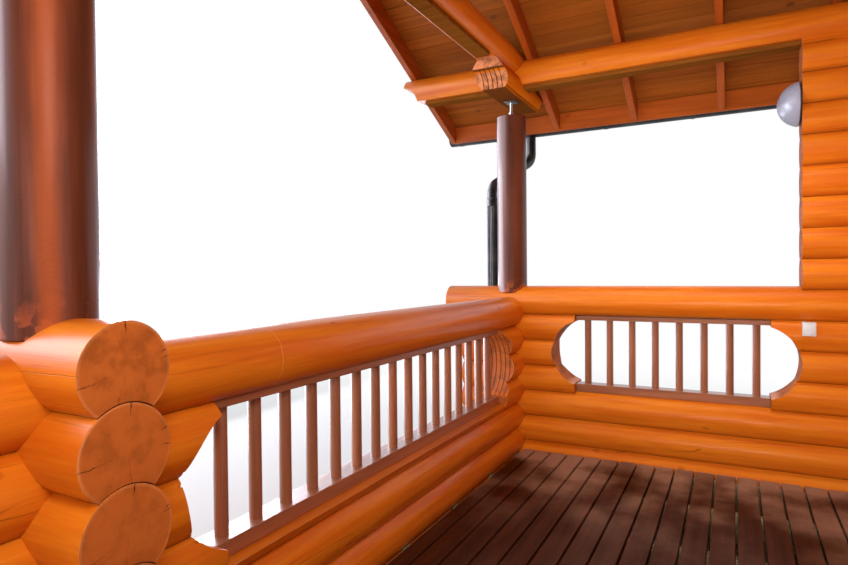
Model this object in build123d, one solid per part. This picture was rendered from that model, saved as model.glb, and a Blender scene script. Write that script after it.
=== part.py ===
from build123d import *
import math
import os

# Covered end veranda of a log cabin, in millimetres.
# +X runs from the open front towards the cabin, +Y is the left side seen from the front.
# The origin is on the ground, under the middle post of the front wall.

# Logs and courses
COURSE = 170.0
LOG_RADIUS = 105.0
SCRIBE_GAP = 0.3
CUT_MARGIN = 20.0

# Plan
HALF_SPAN = 3118.0
CABIN_LINE = 2030.0
CABIN_END = 2370.0
CORNER_WALL_FACE = 1689.0
SHORT_OVERHANG = 344.0
RAIL_OVERHANG = 465.0
PURLIN_OVERHANG = 797.0
PILLAR_REACH = 259.0

# Courses counted from the ground: side logs sit on whole numbers, front logs half a course higher
SIDE_SILL_COURSE = 4
SIDE_RAIL_COURSE = 8
PURLIN_COURSE = 17
FRONT_SILL_COURSE = 4
FRONT_RAIL_COURSE = 7
BOLSTER_COURSE = 16
TIE_COURSE = 17
FRONT_RAIL_RISE = 12.0

# Flats, planks and the rounded ends of the balustrade openings
RAIL_FLAT = 88.0
BEAM_FLAT = 72.0
SIDE_SILL_FLAT = 97.0
FRONT_SILL_FLAT = -38.0
PLANK_WIDTH = 95.0
PLANK_THICKNESS = 25.0
SILL_PLANK_THICKNESS = 45.0
FRONT_ARC_CENTRE = 480.0
SIDE_ARC_CENTRE = 512.0
CABIN_ARC_CENTRE = 1475.0
STUB_OVERLAP = 66.0
END_LIP = 75.0
PURLIN_PLANK_OVERHANG = 645.0
TIE_PLANK_GAP = 70.0
BOLSTER_REACH = 445.0
BOLSTER_KERFS = 5
STUB_KERFS = 6
KERF_PITCH = 31.0
KERF_WIDTH = 7.0
KERF_DEPTH = 12.0

# Balusters
BALUSTER_RADIUS = 19.0
BALUSTER_SPACING = 142.0
BALUSTER_TENON = 8.0

# Posts and screw jacks
POST_RADIUS = 100.0
POST_SEAT = 60.0
POST_TOP = 2625.0
JACK_PLATE = 90.0
JACK_PLATE_THICKNESS = 6.0
JACK_ROD_RADIUS = 10.0
JACK_NUT_RADIUS = 17.0
JACK_NUT_HEIGHT = 16.0
KING_POST_RADIUS = 90.0

# Deck
DECK_TOP = 377.0
DECK_BOARD = 28.0
DECK_EDGE_GAP = 8.0
JOIST_WIDTH = 48.0
JOIST_DEPTH = 145.0
FIRST_JOIST = 608.0
JOIST_SPACING = 521.0
JOIST_HOUSING = 45.0

# Roof
ROOF_SLOPE = 0.4806
RAFTER_FOOT = 2977.0
EAVE_REACH = 660.0
RAFTER_WIDTH = 45.0
RAFTER_DEPTH = 125.0
FIRST_RAFTER = 142.5
RAFTER_SPACING = 571.0
RAFTER_COUNT = 4
BARGE_FACE = 770.0
FASCIA_THICKNESS = 22.0
FASCIA_DROP = 6.0
ROOF_BOARD = 20.0
ROOFING = 10.0
ROOFING_OVERHANG = 30.0
RIDGE_CAP_WIDTH = 180.0
RIDGE_CAP = 6.0
RIDGE_SEAT = 16.0

# Rainwater
GUTTER_RADIUS = 62.5
GUTTER_WALL = 3.0
GUTTER_BOTTOM = 2645.0
PIPE_RADIUS = 40.0
PIPE_WALL = 3.0
OUTLET_X = -95.0
OUTLET_DROP_END = 2457.0
PIPE_X = -262.0
PIPE_REACH = 300.0
PIPE_TURN = 2210.0
PIPE_BEND = 95.0
PIPE_FOOT = 60.0
CLIP_COURSES = (2, 7)
CLIP_HEIGHT = 30.0
CLIP_WALL = 4.0
CLIP_ROD_RADIUS = 6.0

# Doorway in the cabin wall
DOOR_WIDTH = 900.0
DOOR_HEIGHT = 2050.0
DOOR_FRAME = 50.0
DOOR_FRAME_PROUD = 12.0

# Fittings on the cabin corner
LAMP_RADIUS = 122.0
LAMP_DEPTH = 115.0
LAMP_HEIGHT = 2478.0
LAMP_BASE_RADIUS = 116.0
LAMP_BASE = 10.0
LAMP_BAND = 8.0
SOCKET_WIDTH = 63.0
SOCKET_HEIGHT = 74.0
SOCKET_DEPTH = 40.0
SOCKET_X = 1718.0
SOCKET_Z = 1234.0

TOUCH_GAP = 0.3
FROM_BASE = (Align.CENTER, Align.CENTER, Align.MIN)


def side_z(course):
    """Height of the axis of a log along X."""
    return course * COURSE


def front_z(course):
    """Height of the axis of a log along Y, half a course above the log along X."""
    return course * COURSE + COURSE / 2


def veranda_z(course):
    """Height of the axis of a front wall log; the rail sits a little above its course."""
    rise = FRONT_RAIL_RISE if course == FRONT_RAIL_COURSE else 0
    return front_z(course) + rise


# Heights that follow from the driving sizes
SIDE_SILL_TOP = side_z(SIDE_SILL_COURSE) + SIDE_SILL_FLAT
FRONT_SILL_TOP = front_z(FRONT_SILL_COURSE) + FRONT_SILL_FLAT
SIDE_RAIL_FLAT = side_z(SIDE_RAIL_COURSE) - RAIL_FLAT
FRONT_RAIL_FLAT = veranda_z(FRONT_RAIL_COURSE) - RAIL_FLAT
PURLIN_Z = side_z(PURLIN_COURSE)
TIE_Z = front_z(TIE_COURSE)
BOLSTER_Z = front_z(BOLSTER_COURSE)
POST_FOOT = side_z(SIDE_RAIL_COURSE) + POST_SEAT
FRONT_STUB = FRONT_ARC_CENTRE - STUB_OVERLAP
SIDE_STUB = SIDE_ARC_CENTRE - STUB_OVERLAP
CABIN_STUB = CABIN_ARC_CENTRE + STUB_OVERLAP
EAVE = HALF_SPAN + EAVE_REACH
SLOPE_COS = 1 / math.sqrt(1 + ROOF_SLOPE**2)
RAFTER_PLUMB = RAFTER_DEPTH / SLOPE_COS
RIDGE_UNDERSIDE = RAFTER_FOOT + ROOF_SLOPE * HALF_SPAN
RIDGE_Z = RIDGE_UNDERSIDE - (LOG_RADIUS - RIDGE_SEAT) / SLOPE_COS
DOOR_TOP = DECK_TOP + DOOR_HEIGHT


def rafter_underside(y):
    return RAFTER_FOOT - ROOF_SLOPE * (abs(y) - HALF_SPAN)


def log_x(z, y, x_from, x_to, radius=LOG_RADIUS):
    """A round log along X."""
    return Pos(x_from, y, z) * Rot(0, 90, 0) * Cylinder(radius, x_to - x_from, align=FROM_BASE)


def log_y(z, x, y_from, y_to, radius=LOG_RADIUS):
    """A round log along Y."""
    return Pos(x, y_from, z) * Rot(-90, 0, 0) * Cylinder(radius, y_to - y_from, align=FROM_BASE)


def scribe_x(z, y):
    """The hollow that a log along X leaves in whatever is scribed over it."""
    return log_x(z, y, -PURLIN_OVERHANG - CUT_MARGIN, CABIN_END + CUT_MARGIN, LOG_RADIUS + SCRIBE_GAP)


def scribe_y(z, x):
    """The hollow that a log along Y leaves in whatever is scribed over it."""
    reach = HALF_SPAN + PURLIN_OVERHANG
    return log_y(z, x, -reach, reach, LOG_RADIUS + SCRIBE_GAP)


def block(x_from, x_to, y_from, y_to, z_from, z_to):
    size = (x_to - x_from, y_to - y_from, z_to - z_from)
    centre = ((x_from + x_to) / 2, (y_from + y_to) / 2, (z_from + z_to) / 2)
    return Pos(*centre) * Box(*size)


def across_roof(points, x_from, x_to):
    """A prism along X over an outline of (y, z) points."""
    outline = Plane.YZ.offset(x_from) * Polygon(*points, align=None)
    return extrude(outline, amount=x_to - x_from, dir=(1, 0, 0))


def ground_cut():
    reach = 2 * HALF_SPAN
    return block(-reach, reach, -reach, reach, -LOG_RADIUS * 2, 0)


def round_ended(plane, length, height):
    """A round-ended opening through a wall, with upright kerfs in both its ends."""
    hole = extrude(plane * SlotCenterToCenter(length, height), amount=LOG_RADIUS + CUT_MARGIN, both=True)
    longer = SlotCenterToCenter(length + 2 * KERF_DEPTH, height)
    for offset in kerf_places(STUB_KERFS):
        hole += extrude(plane.offset(offset - KERF_WIDTH / 2) * longer, amount=KERF_WIDTH)
    return hole


def kerf_places(count):
    """Offsets of evenly spaced kerfs from the middle of a log."""
    return [(number - (count - 1) / 2) * KERF_PITCH for number in range(count)]


def side_opening(y):
    """The opening between the corner stubs and the cabin corner."""
    low = SIDE_SILL_TOP + SILL_PLANK_THICKNESS
    high = SIDE_RAIL_FLAT - PLANK_THICKNESS
    hole = round_ended(Plane.XZ, CABIN_ARC_CENTRE - SIDE_ARC_CENTRE, high - low)
    return Pos((SIDE_ARC_CENTRE + CABIN_ARC_CENTRE) / 2, y, (low + high) / 2) * hole


def front_opening(y_sign):
    """The opening between a corner and the middle pillar."""
    low = FRONT_SILL_TOP + SILL_PLANK_THICKNESS
    high = FRONT_RAIL_FLAT - PLANK_THICKNESS
    hole = round_ended(Plane.YZ, HALF_SPAN - 2 * FRONT_ARC_CENTRE, high - low)
    return Pos(0, y_sign * HALF_SPAN / 2, (low + high) / 2) * hole


def scoop_x(z, x_tip, y):
    """Hollow under a log's outer end along X, which leaves a lip at the tip."""
    radius = LOG_RADIUS + BEAM_FLAT - END_LIP
    hollow = Rot(90, 0, 0) * Cylinder(radius, 2 * LOG_RADIUS + CUT_MARGIN)
    return Pos(x_tip, y, z - BEAM_FLAT) * hollow


def scoop_y(z, x, y_tip):
    """Hollow under a log's outer end along Y, which leaves a lip at the tip."""
    radius = LOG_RADIUS + BEAM_FLAT - END_LIP
    hollow = Rot(0, 90, 0) * Cylinder(radius, 2 * LOG_RADIUS + CUT_MARGIN)
    return Pos(x, y_tip, z - BEAM_FLAT) * hollow


def under_boards(x_from, x_to, gap=TOUCH_GAP):
    """Everything below the roof boards."""
    peak = RIDGE_UNDERSIDE + RAFTER_PLUMB - gap
    reach = EAVE + HALF_SPAN
    low = peak - ROOF_SLOPE * reach
    points = [(-reach, low - HALF_SPAN), (-reach, low), (0, peak), (reach, low), (reach, low - HALF_SPAN)]
    return across_roof(points, x_from, x_to)


def side_log(course, y, x_from, x_to, has_lower=True):
    """One scribed log of a side wall, notched over the front and cabin walls' logs."""
    z = side_z(course)
    log = log_x(z, y, x_from, x_to)
    if has_lower and course > 0:
        log -= scribe_x(side_z(course - 1), y)
    if course > 0:
        if x_from < LOG_RADIUS and course <= SIDE_RAIL_COURSE or course == PURLIN_COURSE:
            log -= scribe_y(veranda_z(course - 1), 0)
        if x_to > CABIN_LINE:
            log -= scribe_y(front_z(course - 1), CABIN_LINE)
    else:
        log -= ground_cut()
    return log


def side_wall(y):
    """The even and the odd courses of one side wall, as two lists of logs."""
    courses = {0: [], 1: []}
    opening = side_opening(y)
    for course in range(SIDE_SILL_COURSE + 1):
        log = side_log(course, y, -SHORT_OVERHANG, CABIN_END)
        if course == SIDE_SILL_COURSE:
            log -= block(SIDE_STUB, CABIN_STUB, y - LOG_RADIUS, y + LOG_RADIUS,
                         SIDE_SILL_TOP, SIDE_SILL_TOP + LOG_RADIUS)
        courses[course % 2].append(log)
    for course in range(SIDE_SILL_COURSE + 1, SIDE_RAIL_COURSE):
        corner = side_log(course, y, -SHORT_OVERHANG, SIDE_STUB)
        cabin = side_log(course, y, CABIN_STUB, CABIN_END)
        courses[course % 2].append(corner - opening)
        courses[course % 2].append(cabin - opening)
    rail = side_log(SIDE_RAIL_COURSE, y, -RAIL_OVERHANG, CABIN_END)
    rail -= block(SIDE_STUB, CABIN_STUB, y - LOG_RADIUS, y + LOG_RADIUS,
                  SIDE_RAIL_FLAT - LOG_RADIUS, SIDE_RAIL_FLAT)
    courses[SIDE_RAIL_COURSE % 2].append(rail - post_seat(y))
    for course in range(SIDE_RAIL_COURSE + 1, PURLIN_COURSE):
        courses[course % 2].append(side_log(course, y, CORNER_WALL_FACE, CABIN_END))
    return courses


def purlin(y):
    log = side_log(PURLIN_COURSE, y, -PURLIN_OVERHANG, CABIN_END, has_lower=False)
    flat_low = PURLIN_Z - LOG_RADIUS - CUT_MARGIN
    flat_high = PURLIN_Z - BEAM_FLAT
    log -= block(-PURLIN_OVERHANG, CORNER_WALL_FACE, y - LOG_RADIUS, y + LOG_RADIUS, flat_low, flat_high)
    over_wall = scribe_x(side_z(PURLIN_COURSE - 1), y)
    over_wall &= block(CORNER_WALL_FACE, CABIN_END + CUT_MARGIN, y - 2 * LOG_RADIUS, y + 2 * LOG_RADIUS,
                       0, PURLIN_Z)
    log -= over_wall
    return log - scoop_x(PURLIN_Z, -PURLIN_OVERHANG, y)


def front_log(course, y_from, y_to):
    """One scribed log of the front wall, notched over the side logs and the pillar's logs."""
    log = log_y(veranda_z(course), 0, y_from, y_to)
    if course == 0:
        log -= ground_cut()
    else:
        log -= scribe_y(veranda_z(course - 1), 0)
    for y in (-HALF_SPAN, 0, HALF_SPAN):
        if y_from < y < y_to:
            log -= scribe_x(side_z(course), y)
    return log


def front_wall():
    """The even and the odd courses of the front wall, as two lists of logs."""
    courses = {0: [], 1: []}
    openings = [front_opening(-1), front_opening(1)]
    outer = HALF_SPAN + SHORT_OVERHANG
    inner = HALF_SPAN - FRONT_STUB
    for course in range(FRONT_SILL_COURSE + 1):
        log = front_log(course, -outer, outer)
        if course == FRONT_SILL_COURSE:
            top = FRONT_SILL_TOP + LOG_RADIUS * 2
            for sign in (-1, 1):
                ends = sorted((sign * FRONT_STUB, sign * inner))
                log -= block(-LOG_RADIUS, LOG_RADIUS, ends[0], ends[1], FRONT_SILL_TOP, top)
            for opening in openings:
                log -= opening
        courses[course % 2].append(log)
    for course in range(FRONT_SILL_COURSE + 1, FRONT_RAIL_COURSE):
        spans = [(-outer, -inner), (-FRONT_STUB, FRONT_STUB), (inner, outer)]
        for y_from, y_to in spans:
            stub = front_log(course, y_from, y_to)
            for opening in openings:
                stub -= opening
            courses[course % 2].append(stub)
    reach = HALF_SPAN + RAIL_OVERHANG
    rail = front_log(FRONT_RAIL_COURSE, -reach, reach)
    for sign in (-1, 1):
        ends = sorted((sign * FRONT_STUB, sign * inner))
        rail -= block(-LOG_RADIUS, LOG_RADIUS, ends[0], ends[1],
                      FRONT_RAIL_FLAT - LOG_RADIUS, FRONT_RAIL_FLAT)
    courses[FRONT_RAIL_COURSE % 2].append(rail)
    return courses


def middle_pillar():
    """The short cross logs that carry the middle post, as even and odd courses."""
    courses = {0: [], 1: []}
    for course in range(SIDE_RAIL_COURSE + 1):
        log = side_log(course, 0, -PILLAR_REACH, PILLAR_REACH)
        if course == SIDE_RAIL_COURSE:
            log -= post_seat(0)
        courses[course % 2].append(log)
    return courses


def cabin_wall():
    """The even and odd courses of the cabin's gable wall below the tie course, and its gable logs."""
    courses = {0: [], 1: []}
    gables = {0: [], 1: []}
    reach = HALF_SPAN + SHORT_OVERHANG
    door = door_hole()
    below = under_boards(CABIN_LINE - 2 * LOG_RADIUS, CABIN_LINE + 2 * LOG_RADIUS)
    ridge = scribe_x(RIDGE_Z, 0)
    course = 0
    while front_z(course) < RIDGE_UNDERSIDE + RAFTER_PLUMB - COURSE / 2:
        z = front_z(course)
        log = log_y(z, CABIN_LINE, -reach, reach)
        if course == 0:
            log -= ground_cut()
        else:
            log -= scribe_y(front_z(course - 1), CABIN_LINE)
        if course <= PURLIN_COURSE:
            for y in (-HALF_SPAN, HALF_SPAN):
                log -= scribe_x(side_z(course), y)
        if DECK_TOP - DECK_BOARD - LOG_RADIUS < z < DOOR_TOP + DOOR_FRAME + LOG_RADIUS:
            log -= door
        if z + LOG_RADIUS > RAFTER_FOOT - COURSE:
            log &= below
        if z + LOG_RADIUS > RIDGE_Z - LOG_RADIUS:
            log -= ridge
        target = courses if course < TIE_COURSE else gables
        target[course % 2].extend(log.solids())
        course += 1
    return courses, gables


def door_hole():
    half = DOOR_WIDTH / 2 + DOOR_FRAME + TOUCH_GAP
    return block(CABIN_LINE - 2 * LOG_RADIUS, CABIN_LINE + 2 * LOG_RADIUS, -half, half,
                 DECK_TOP - DECK_BOARD, DOOR_TOP + DOOR_FRAME + TOUCH_GAP)


def door_frame():
    half_depth = LOG_RADIUS + DOOR_FRAME_PROUD
    x_from = CABIN_LINE - half_depth
    x_to = CABIN_LINE + half_depth
    outer = DOOR_WIDTH / 2 + DOOR_FRAME
    low = DECK_TOP - DECK_BOARD
    frame = block(x_from, x_to, -outer, outer, low, DOOR_TOP + DOOR_FRAME)
    return frame - block(x_from, x_to, -DOOR_WIDTH / 2, DOOR_WIDTH / 2, DECK_TOP, DOOR_TOP)


def post(y):
    return Pos(0, y, POST_FOOT) * Cylinder(POST_RADIUS, POST_TOP - POST_FOOT, align=FROM_BASE)


def post_seat(y):
    """Round housing for a post's foot in the log that carries it."""
    return Pos(0, y, POST_FOOT) * Cylinder(POST_RADIUS + TOUCH_GAP, LOG_RADIUS, align=FROM_BASE)


def screw_jack(y):
    top = BOLSTER_Z - BEAM_FLAT
    height = top - POST_TOP
    plate = Box(JACK_PLATE, JACK_PLATE, JACK_PLATE_THICKNESS, align=FROM_BASE)
    jack = Pos(0, y, POST_TOP) * plate
    jack += Pos(0, y, POST_TOP) * Cylinder(JACK_ROD_RADIUS, height, align=FROM_BASE)
    nut = extrude(RegularPolygon(JACK_NUT_RADIUS, 6), amount=JACK_NUT_HEIGHT)
    jack += Pos(0, y, POST_TOP + JACK_PLATE_THICKNESS) * nut
    jack += Pos(0, y, top - JACK_PLATE_THICKNESS) * plate
    return jack


def bolster(y):
    """Short log on a post, flat below, with scooped ends that carry upright kerfs."""
    log = log_y(BOLSTER_Z, 0, y - BOLSTER_REACH, y + BOLSTER_REACH)
    flat = BOLSTER_Z - BEAM_FLAT
    log -= block(-LOG_RADIUS, LOG_RADIUS, y - BOLSTER_REACH, y + BOLSTER_REACH, flat - LOG_RADIUS, flat)
    kerf = Rot(0, 90, 0) * Cylinder(LOG_RADIUS + BEAM_FLAT - END_LIP, KERF_WIDTH)
    for sign in (-1, 1):
        tip = y + sign * BOLSTER_REACH
        log -= scoop_y(BOLSTER_Z, 0, tip)
        for x in kerf_places(BOLSTER_KERFS):
            log -= Pos(x, tip - sign * KERF_DEPTH, flat) * kerf
    return log & under_boards(-LOG_RADIUS, LOG_RADIUS)


def tie_beam():
    reach = HALF_SPAN + SHORT_OVERHANG
    log = log_y(TIE_Z, 0, -reach, reach)
    for y in (-HALF_SPAN, HALF_SPAN):
        log -= scribe_x(PURLIN_Z, y)
    spans = []
    for y in (-HALF_SPAN, 0, HALF_SPAN):
        spans.append((y - BOLSTER_REACH, y + BOLSTER_REACH))
        log -= log_y(BOLSTER_Z, 0, y - BOLSTER_REACH, y + BOLSTER_REACH, LOG_RADIUS + SCRIBE_GAP)
    flat = TIE_Z - BEAM_FLAT
    for first, second in zip(spans, spans[1:]):
        log -= block(-LOG_RADIUS, LOG_RADIUS, first[1], second[0], flat - LOG_RADIUS, flat)
    return log & under_boards(-LOG_RADIUS, LOG_RADIUS)


def beam_planks():
    """Planks on the flats under the purlins and the tie beam."""
    planks = []
    low = PURLIN_Z - BEAM_FLAT - PLANK_THICKNESS
    edge = LOG_RADIUS + TOUCH_GAP
    for y in (-HALF_SPAN, HALF_SPAN):
        sides = (y - PLANK_WIDTH / 2, y + PLANK_WIDTH / 2)
        for x_from, x_to in ((-PURLIN_PLANK_OVERHANG, -edge), (edge, CORNER_WALL_FACE - TOUCH_GAP)):
            planks.append(block(x_from, x_to, sides[0], sides[1], low, low + PLANK_THICKNESS))
    low = TIE_Z - BEAM_FLAT - PLANK_THICKNESS
    start = BOLSTER_REACH + TIE_PLANK_GAP
    end = HALF_SPAN - start
    for y_from, y_to in ((-end, -start), (start, end)):
        planks.append(block(-PLANK_WIDTH / 2, PLANK_WIDTH / 2, y_from, y_to, low, low + PLANK_THICKNESS))
    return planks


def ridge_log():
    log = log_x(RIDGE_Z, 0, -PURLIN_OVERHANG, CABIN_END)
    return log - scoop_x(RIDGE_Z, -PURLIN_OVERHANG, 0)


def king_post():
    height = RIDGE_Z - TIE_Z
    column = Pos(0, 0, TIE_Z) * Cylinder(KING_POST_RADIUS, height, align=FROM_BASE)
    return column - scribe_y(TIE_Z, 0) - scribe_x(RIDGE_Z, 0)


def baluster_places(start, end):
    """Evenly spaced places between two ends, about one spacing apart."""
    count = round((end - start) / BALUSTER_SPACING)
    step = (end - start) / count
    return [start + step * (number + 0.5) for number in range(count)]


def panel(length, low, high):
    """A balustrade panel along local X, with planks above and below and round balusters between."""
    bottom = Pos(0, 0, low - SILL_PLANK_THICKNESS) * Box(
        length, PLANK_WIDTH, SILL_PLANK_THICKNESS, align=FROM_BASE)
    top = Pos(0, 0, high) * Box(length, PLANK_WIDTH, PLANK_THICKNESS, align=FROM_BASE)
    result = bottom + top
    height = high - low + 2 * BALUSTER_TENON
    for x in baluster_places(-length / 2, length / 2):
        result += Pos(x, 0, low - BALUSTER_TENON) * Cylinder(BALUSTER_RADIUS, height, align=FROM_BASE)
    return result


def side_balustrade(y):
    start = SIDE_STUB + TOUCH_GAP
    end = CABIN_STUB - TOUCH_GAP
    low = SIDE_SILL_TOP + SILL_PLANK_THICKNESS
    high = SIDE_RAIL_FLAT - PLANK_THICKNESS
    return Pos((start + end) / 2, y, 0) * panel(end - start, low, high)


def front_balustrade(y_sign):
    start = FRONT_STUB + TOUCH_GAP
    end = HALF_SPAN - start
    low = FRONT_SILL_TOP + SILL_PLANK_THICKNESS
    high = FRONT_RAIL_FLAT - PLANK_THICKNESS
    return Pos(0, y_sign * (start + end) / 2, 0) * Rot(0, 0, 90) * panel(end - start, low, high)


def joist_places():
    """Joists beside the walls and the middle pillar, with evenly spaced ones between."""
    beside = LOG_RADIUS + JOIST_WIDTH
    right = [beside, HALF_SPAN - beside]
    y = HALF_SPAN - FIRST_JOIST
    while y > beside + JOIST_SPACING / 2:
        right.append(y)
        y -= JOIST_SPACING
    right.sort()
    return [-y for y in reversed(right)] + right


def joists():
    """Deck joists, housed in the second log of the front and cabin walls."""
    top = DECK_TOP - DECK_BOARD
    x_from = LOG_RADIUS - JOIST_HOUSING
    x_to = CABIN_LINE - LOG_RADIUS + JOIST_HOUSING
    result = []
    for y in joist_places():
        result.append(block(x_from, x_to, y - JOIST_WIDTH / 2, y + JOIST_WIDTH / 2, top - JOIST_DEPTH, top))
    return result


def joist_pockets():
    top = DECK_TOP - DECK_BOARD
    x_from = LOG_RADIUS - JOIST_HOUSING - TOUCH_GAP
    x_to = CABIN_LINE - LOG_RADIUS + JOIST_HOUSING + TOUCH_GAP
    half = JOIST_WIDTH / 2 + TOUCH_GAP
    floor = top - JOIST_DEPTH - TOUCH_GAP
    pockets = []
    for y in joist_places():
        pockets.append(block(x_from, x_to, y - half, y + half, floor, top + TOUCH_GAP))
    return pockets


def deck():
    """Deck surface, cut round the middle pillar's inner stub."""
    half = HALF_SPAN - LOG_RADIUS - DECK_EDGE_GAP
    x_from = LOG_RADIUS + DECK_EDGE_GAP
    x_to = CABIN_LINE - LOG_RADIUS - DECK_EDGE_GAP - DOOR_FRAME_PROUD
    slab = block(x_from, x_to, -half, half, DECK_TOP - DECK_BOARD, DECK_TOP)
    notch = LOG_RADIUS + DECK_EDGE_GAP
    return slab - block(0, PILLAR_REACH + DECK_EDGE_GAP, -notch, notch, 0, DECK_TOP)


def rafter(x_from, x_to, sign):
    """One rafter, plumb cut at ridge and eave and notched over the purlin and the ridge log."""
    foot = rafter_underside(EAVE)
    start = sign * TOUCH_GAP
    end = sign * EAVE
    points = [(start, RIDGE_UNDERSIDE), (end, foot), (end, foot + RAFTER_PLUMB),
              (start, RIDGE_UNDERSIDE + RAFTER_PLUMB)]
    beam = across_roof(points, x_from, x_to)
    return beam - scribe_x(PURLIN_Z, sign * HALF_SPAN) - scribe_x(RIDGE_Z, 0)


def rafters(sign):
    result = []
    for number in range(RAFTER_COUNT):
        x = FIRST_RAFTER + number * RAFTER_SPACING
        result.append(rafter(x - RAFTER_WIDTH / 2, x + RAFTER_WIDTH / 2, sign))
    result.append(rafter(CABIN_END - RAFTER_WIDTH, CABIN_END, sign))
    return result


def roof_layer(sign, start_height, thickness, x_from, x_to, overhang):
    """A sheet on the slope, from the ridge to beyond the fascia."""
    low = RAFTER_PLUMB + start_height / SLOPE_COS
    high = low + thickness / SLOPE_COS
    start = sign * TOUCH_GAP
    end = sign * (EAVE + FASCIA_THICKNESS + overhang)
    foot = rafter_underside(end)
    points = [(start, RIDGE_UNDERSIDE + low), (end, foot + low), (end, foot + high),
              (start, RIDGE_UNDERSIDE + high)]
    return across_roof(points, x_from, x_to)


def fascia(sign):
    foot = rafter_underside(EAVE)
    top = rafter_underside(EAVE + FASCIA_THICKNESS) + RAFTER_PLUMB - TOUCH_GAP
    inner = EAVE + TOUCH_GAP
    outer = EAVE + FASCIA_THICKNESS
    ends = sorted((sign * inner, sign * outer))
    return block(-BARGE_FACE, CABIN_END, ends[0], ends[1], foot - FASCIA_DROP, top)


def ridge_cap():
    low = RIDGE_UNDERSIDE + RAFTER_PLUMB + (ROOF_BOARD + ROOFING) / SLOPE_COS + TOUCH_GAP
    high = low + RIDGE_CAP / SLOPE_COS
    drop = ROOF_SLOPE * RIDGE_CAP_WIDTH
    points = [(-RIDGE_CAP_WIDTH, low - drop), (0, low), (RIDGE_CAP_WIDTH, low - drop),
              (RIDGE_CAP_WIDTH, high - drop), (0, high), (-RIDGE_CAP_WIDTH, high - drop)]
    return across_roof(points, -BARGE_FACE - ROOFING_OVERHANG, CABIN_END)


def gutter_y():
    return EAVE + FASCIA_THICKNESS + TOUCH_GAP + GUTTER_RADIUS


def gutter(sign):
    """A half-round gutter with closed ends and an outlet over the downpipe."""
    y = sign * gutter_y()
    z = GUTTER_BOTTOM + GUTTER_RADIUS
    x_from = -BARGE_FACE - ROOFING_OVERHANG
    body = log_x(z, y, x_from, CABIN_END, GUTTER_RADIUS)
    inside = log_x(z, y, x_from + GUTTER_WALL, CABIN_END - GUTTER_WALL, GUTTER_RADIUS - GUTTER_WALL)
    body -= inside
    body -= block(x_from, CABIN_END, y - 2 * GUTTER_RADIUS, y + 2 * GUTTER_RADIUS, z, z + 2 * GUTTER_RADIUS)
    outlet = Pos(OUTLET_X, y, GUTTER_BOTTOM - GUTTER_RADIUS)
    return body - outlet * Cylinder(PIPE_RADIUS - PIPE_WALL, 2 * GUTTER_RADIUS)


def downpipe(sign):
    """A round pipe from the gutter's outlet back to the corner and down to the ground."""
    top = Vector(OUTLET_X, sign * gutter_y(), GUTTER_BOTTOM + GUTTER_WALL)
    points = [
        top,
        Vector(OUTLET_X, sign * gutter_y(), OUTLET_DROP_END),
        Vector(PIPE_X, sign * (HALF_SPAN + PIPE_REACH), PIPE_TURN),
        Vector(PIPE_X, sign * (HALF_SPAN + PIPE_REACH), PIPE_FOOT),
    ]
    path = FilletPolyline(*points, radius=PIPE_BEND)
    ring = Circle(PIPE_RADIUS) - Circle(PIPE_RADIUS - PIPE_WALL)
    pipe = sweep(Plane(origin=top, z_dir=(0, 0, -1)) * ring, path=path)
    return pipe - log_x(GUTTER_BOTTOM + GUTTER_RADIUS, sign * gutter_y(), OUTLET_X - GUTTER_RADIUS,
                        OUTLET_X + GUTTER_RADIUS, GUTTER_RADIUS + TOUCH_GAP)


def pipe_clips():
    """Straps round the downpipes, each on a rod from the end of a front log."""
    clips = []
    inner = PIPE_RADIUS + TOUCH_GAP
    outer = inner + CLIP_WALL
    for sign in (-1, 1):
        y = sign * (HALF_SPAN + PIPE_REACH)
        for course in CLIP_COURSES:
            z = front_z(course)
            strap = Pos(PIPE_X, y, z) * (Cylinder(outer, CLIP_HEIGHT) - Cylinder(inner, CLIP_HEIGHT))
            rod_start = PIPE_X + inner + CLIP_WALL / 2
            rod = log_x(z, y, rod_start, -LOG_RADIUS - TOUCH_GAP, CLIP_ROD_RADIUS)
            clips.append(strap + rod)
    return clips


def wall_lamp():
    """A round wall lamp: a base plate and a deep dome on a narrow band."""
    dome_height = LAMP_DEPTH - LAMP_BASE - LAMP_BAND
    sphere = (LAMP_RADIUS**2 + dome_height**2) / (2 * dome_height)
    dome = Pos(0, 0, LAMP_BASE + LAMP_BAND + dome_height - sphere) * Sphere(sphere)
    above = Pos(0, 0, LAMP_BASE + LAMP_BAND) * Cylinder(LAMP_RADIUS, LAMP_DEPTH, align=FROM_BASE)
    glass = dome & above
    glass += Pos(0, 0, LAMP_BASE) * Cylinder(LAMP_RADIUS, LAMP_BAND, align=FROM_BASE)
    place = Pos(CORNER_WALL_FACE - TOUCH_GAP, HALF_SPAN, LAMP_HEIGHT) * Rot(0, -90, 0)
    base = Cylinder(LAMP_BASE_RADIUS, LAMP_BASE, align=FROM_BASE)
    return place * glass, place * base


def socket_box():
    """A surface socket, its back scribed to the log behind it."""
    course = SIDE_RAIL_COURSE - 1
    front = HALF_SPAN - LOG_RADIUS - SOCKET_DEPTH / 2
    box = block(SOCKET_X - SOCKET_WIDTH / 2, SOCKET_X + SOCKET_WIDTH / 2, front, HALF_SPAN - LOG_RADIUS / 2,
                SOCKET_Z - SOCKET_HEIGHT / 2, SOCKET_Z + SOCKET_HEIGHT / 2)
    return box - scribe_x(side_z(course), HALF_SPAN) - scribe_x(side_z(course + 1), HALF_SPAN)


def housed(logs, pockets):
    """Cut the joists' pockets into the logs that they reach."""
    result = []
    for log in logs:
        low = log.bounding_box().min.Z
        if low < DECK_TOP:
            for pocket in pockets:
                log -= pocket
        result.append(log)
    return result


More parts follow.
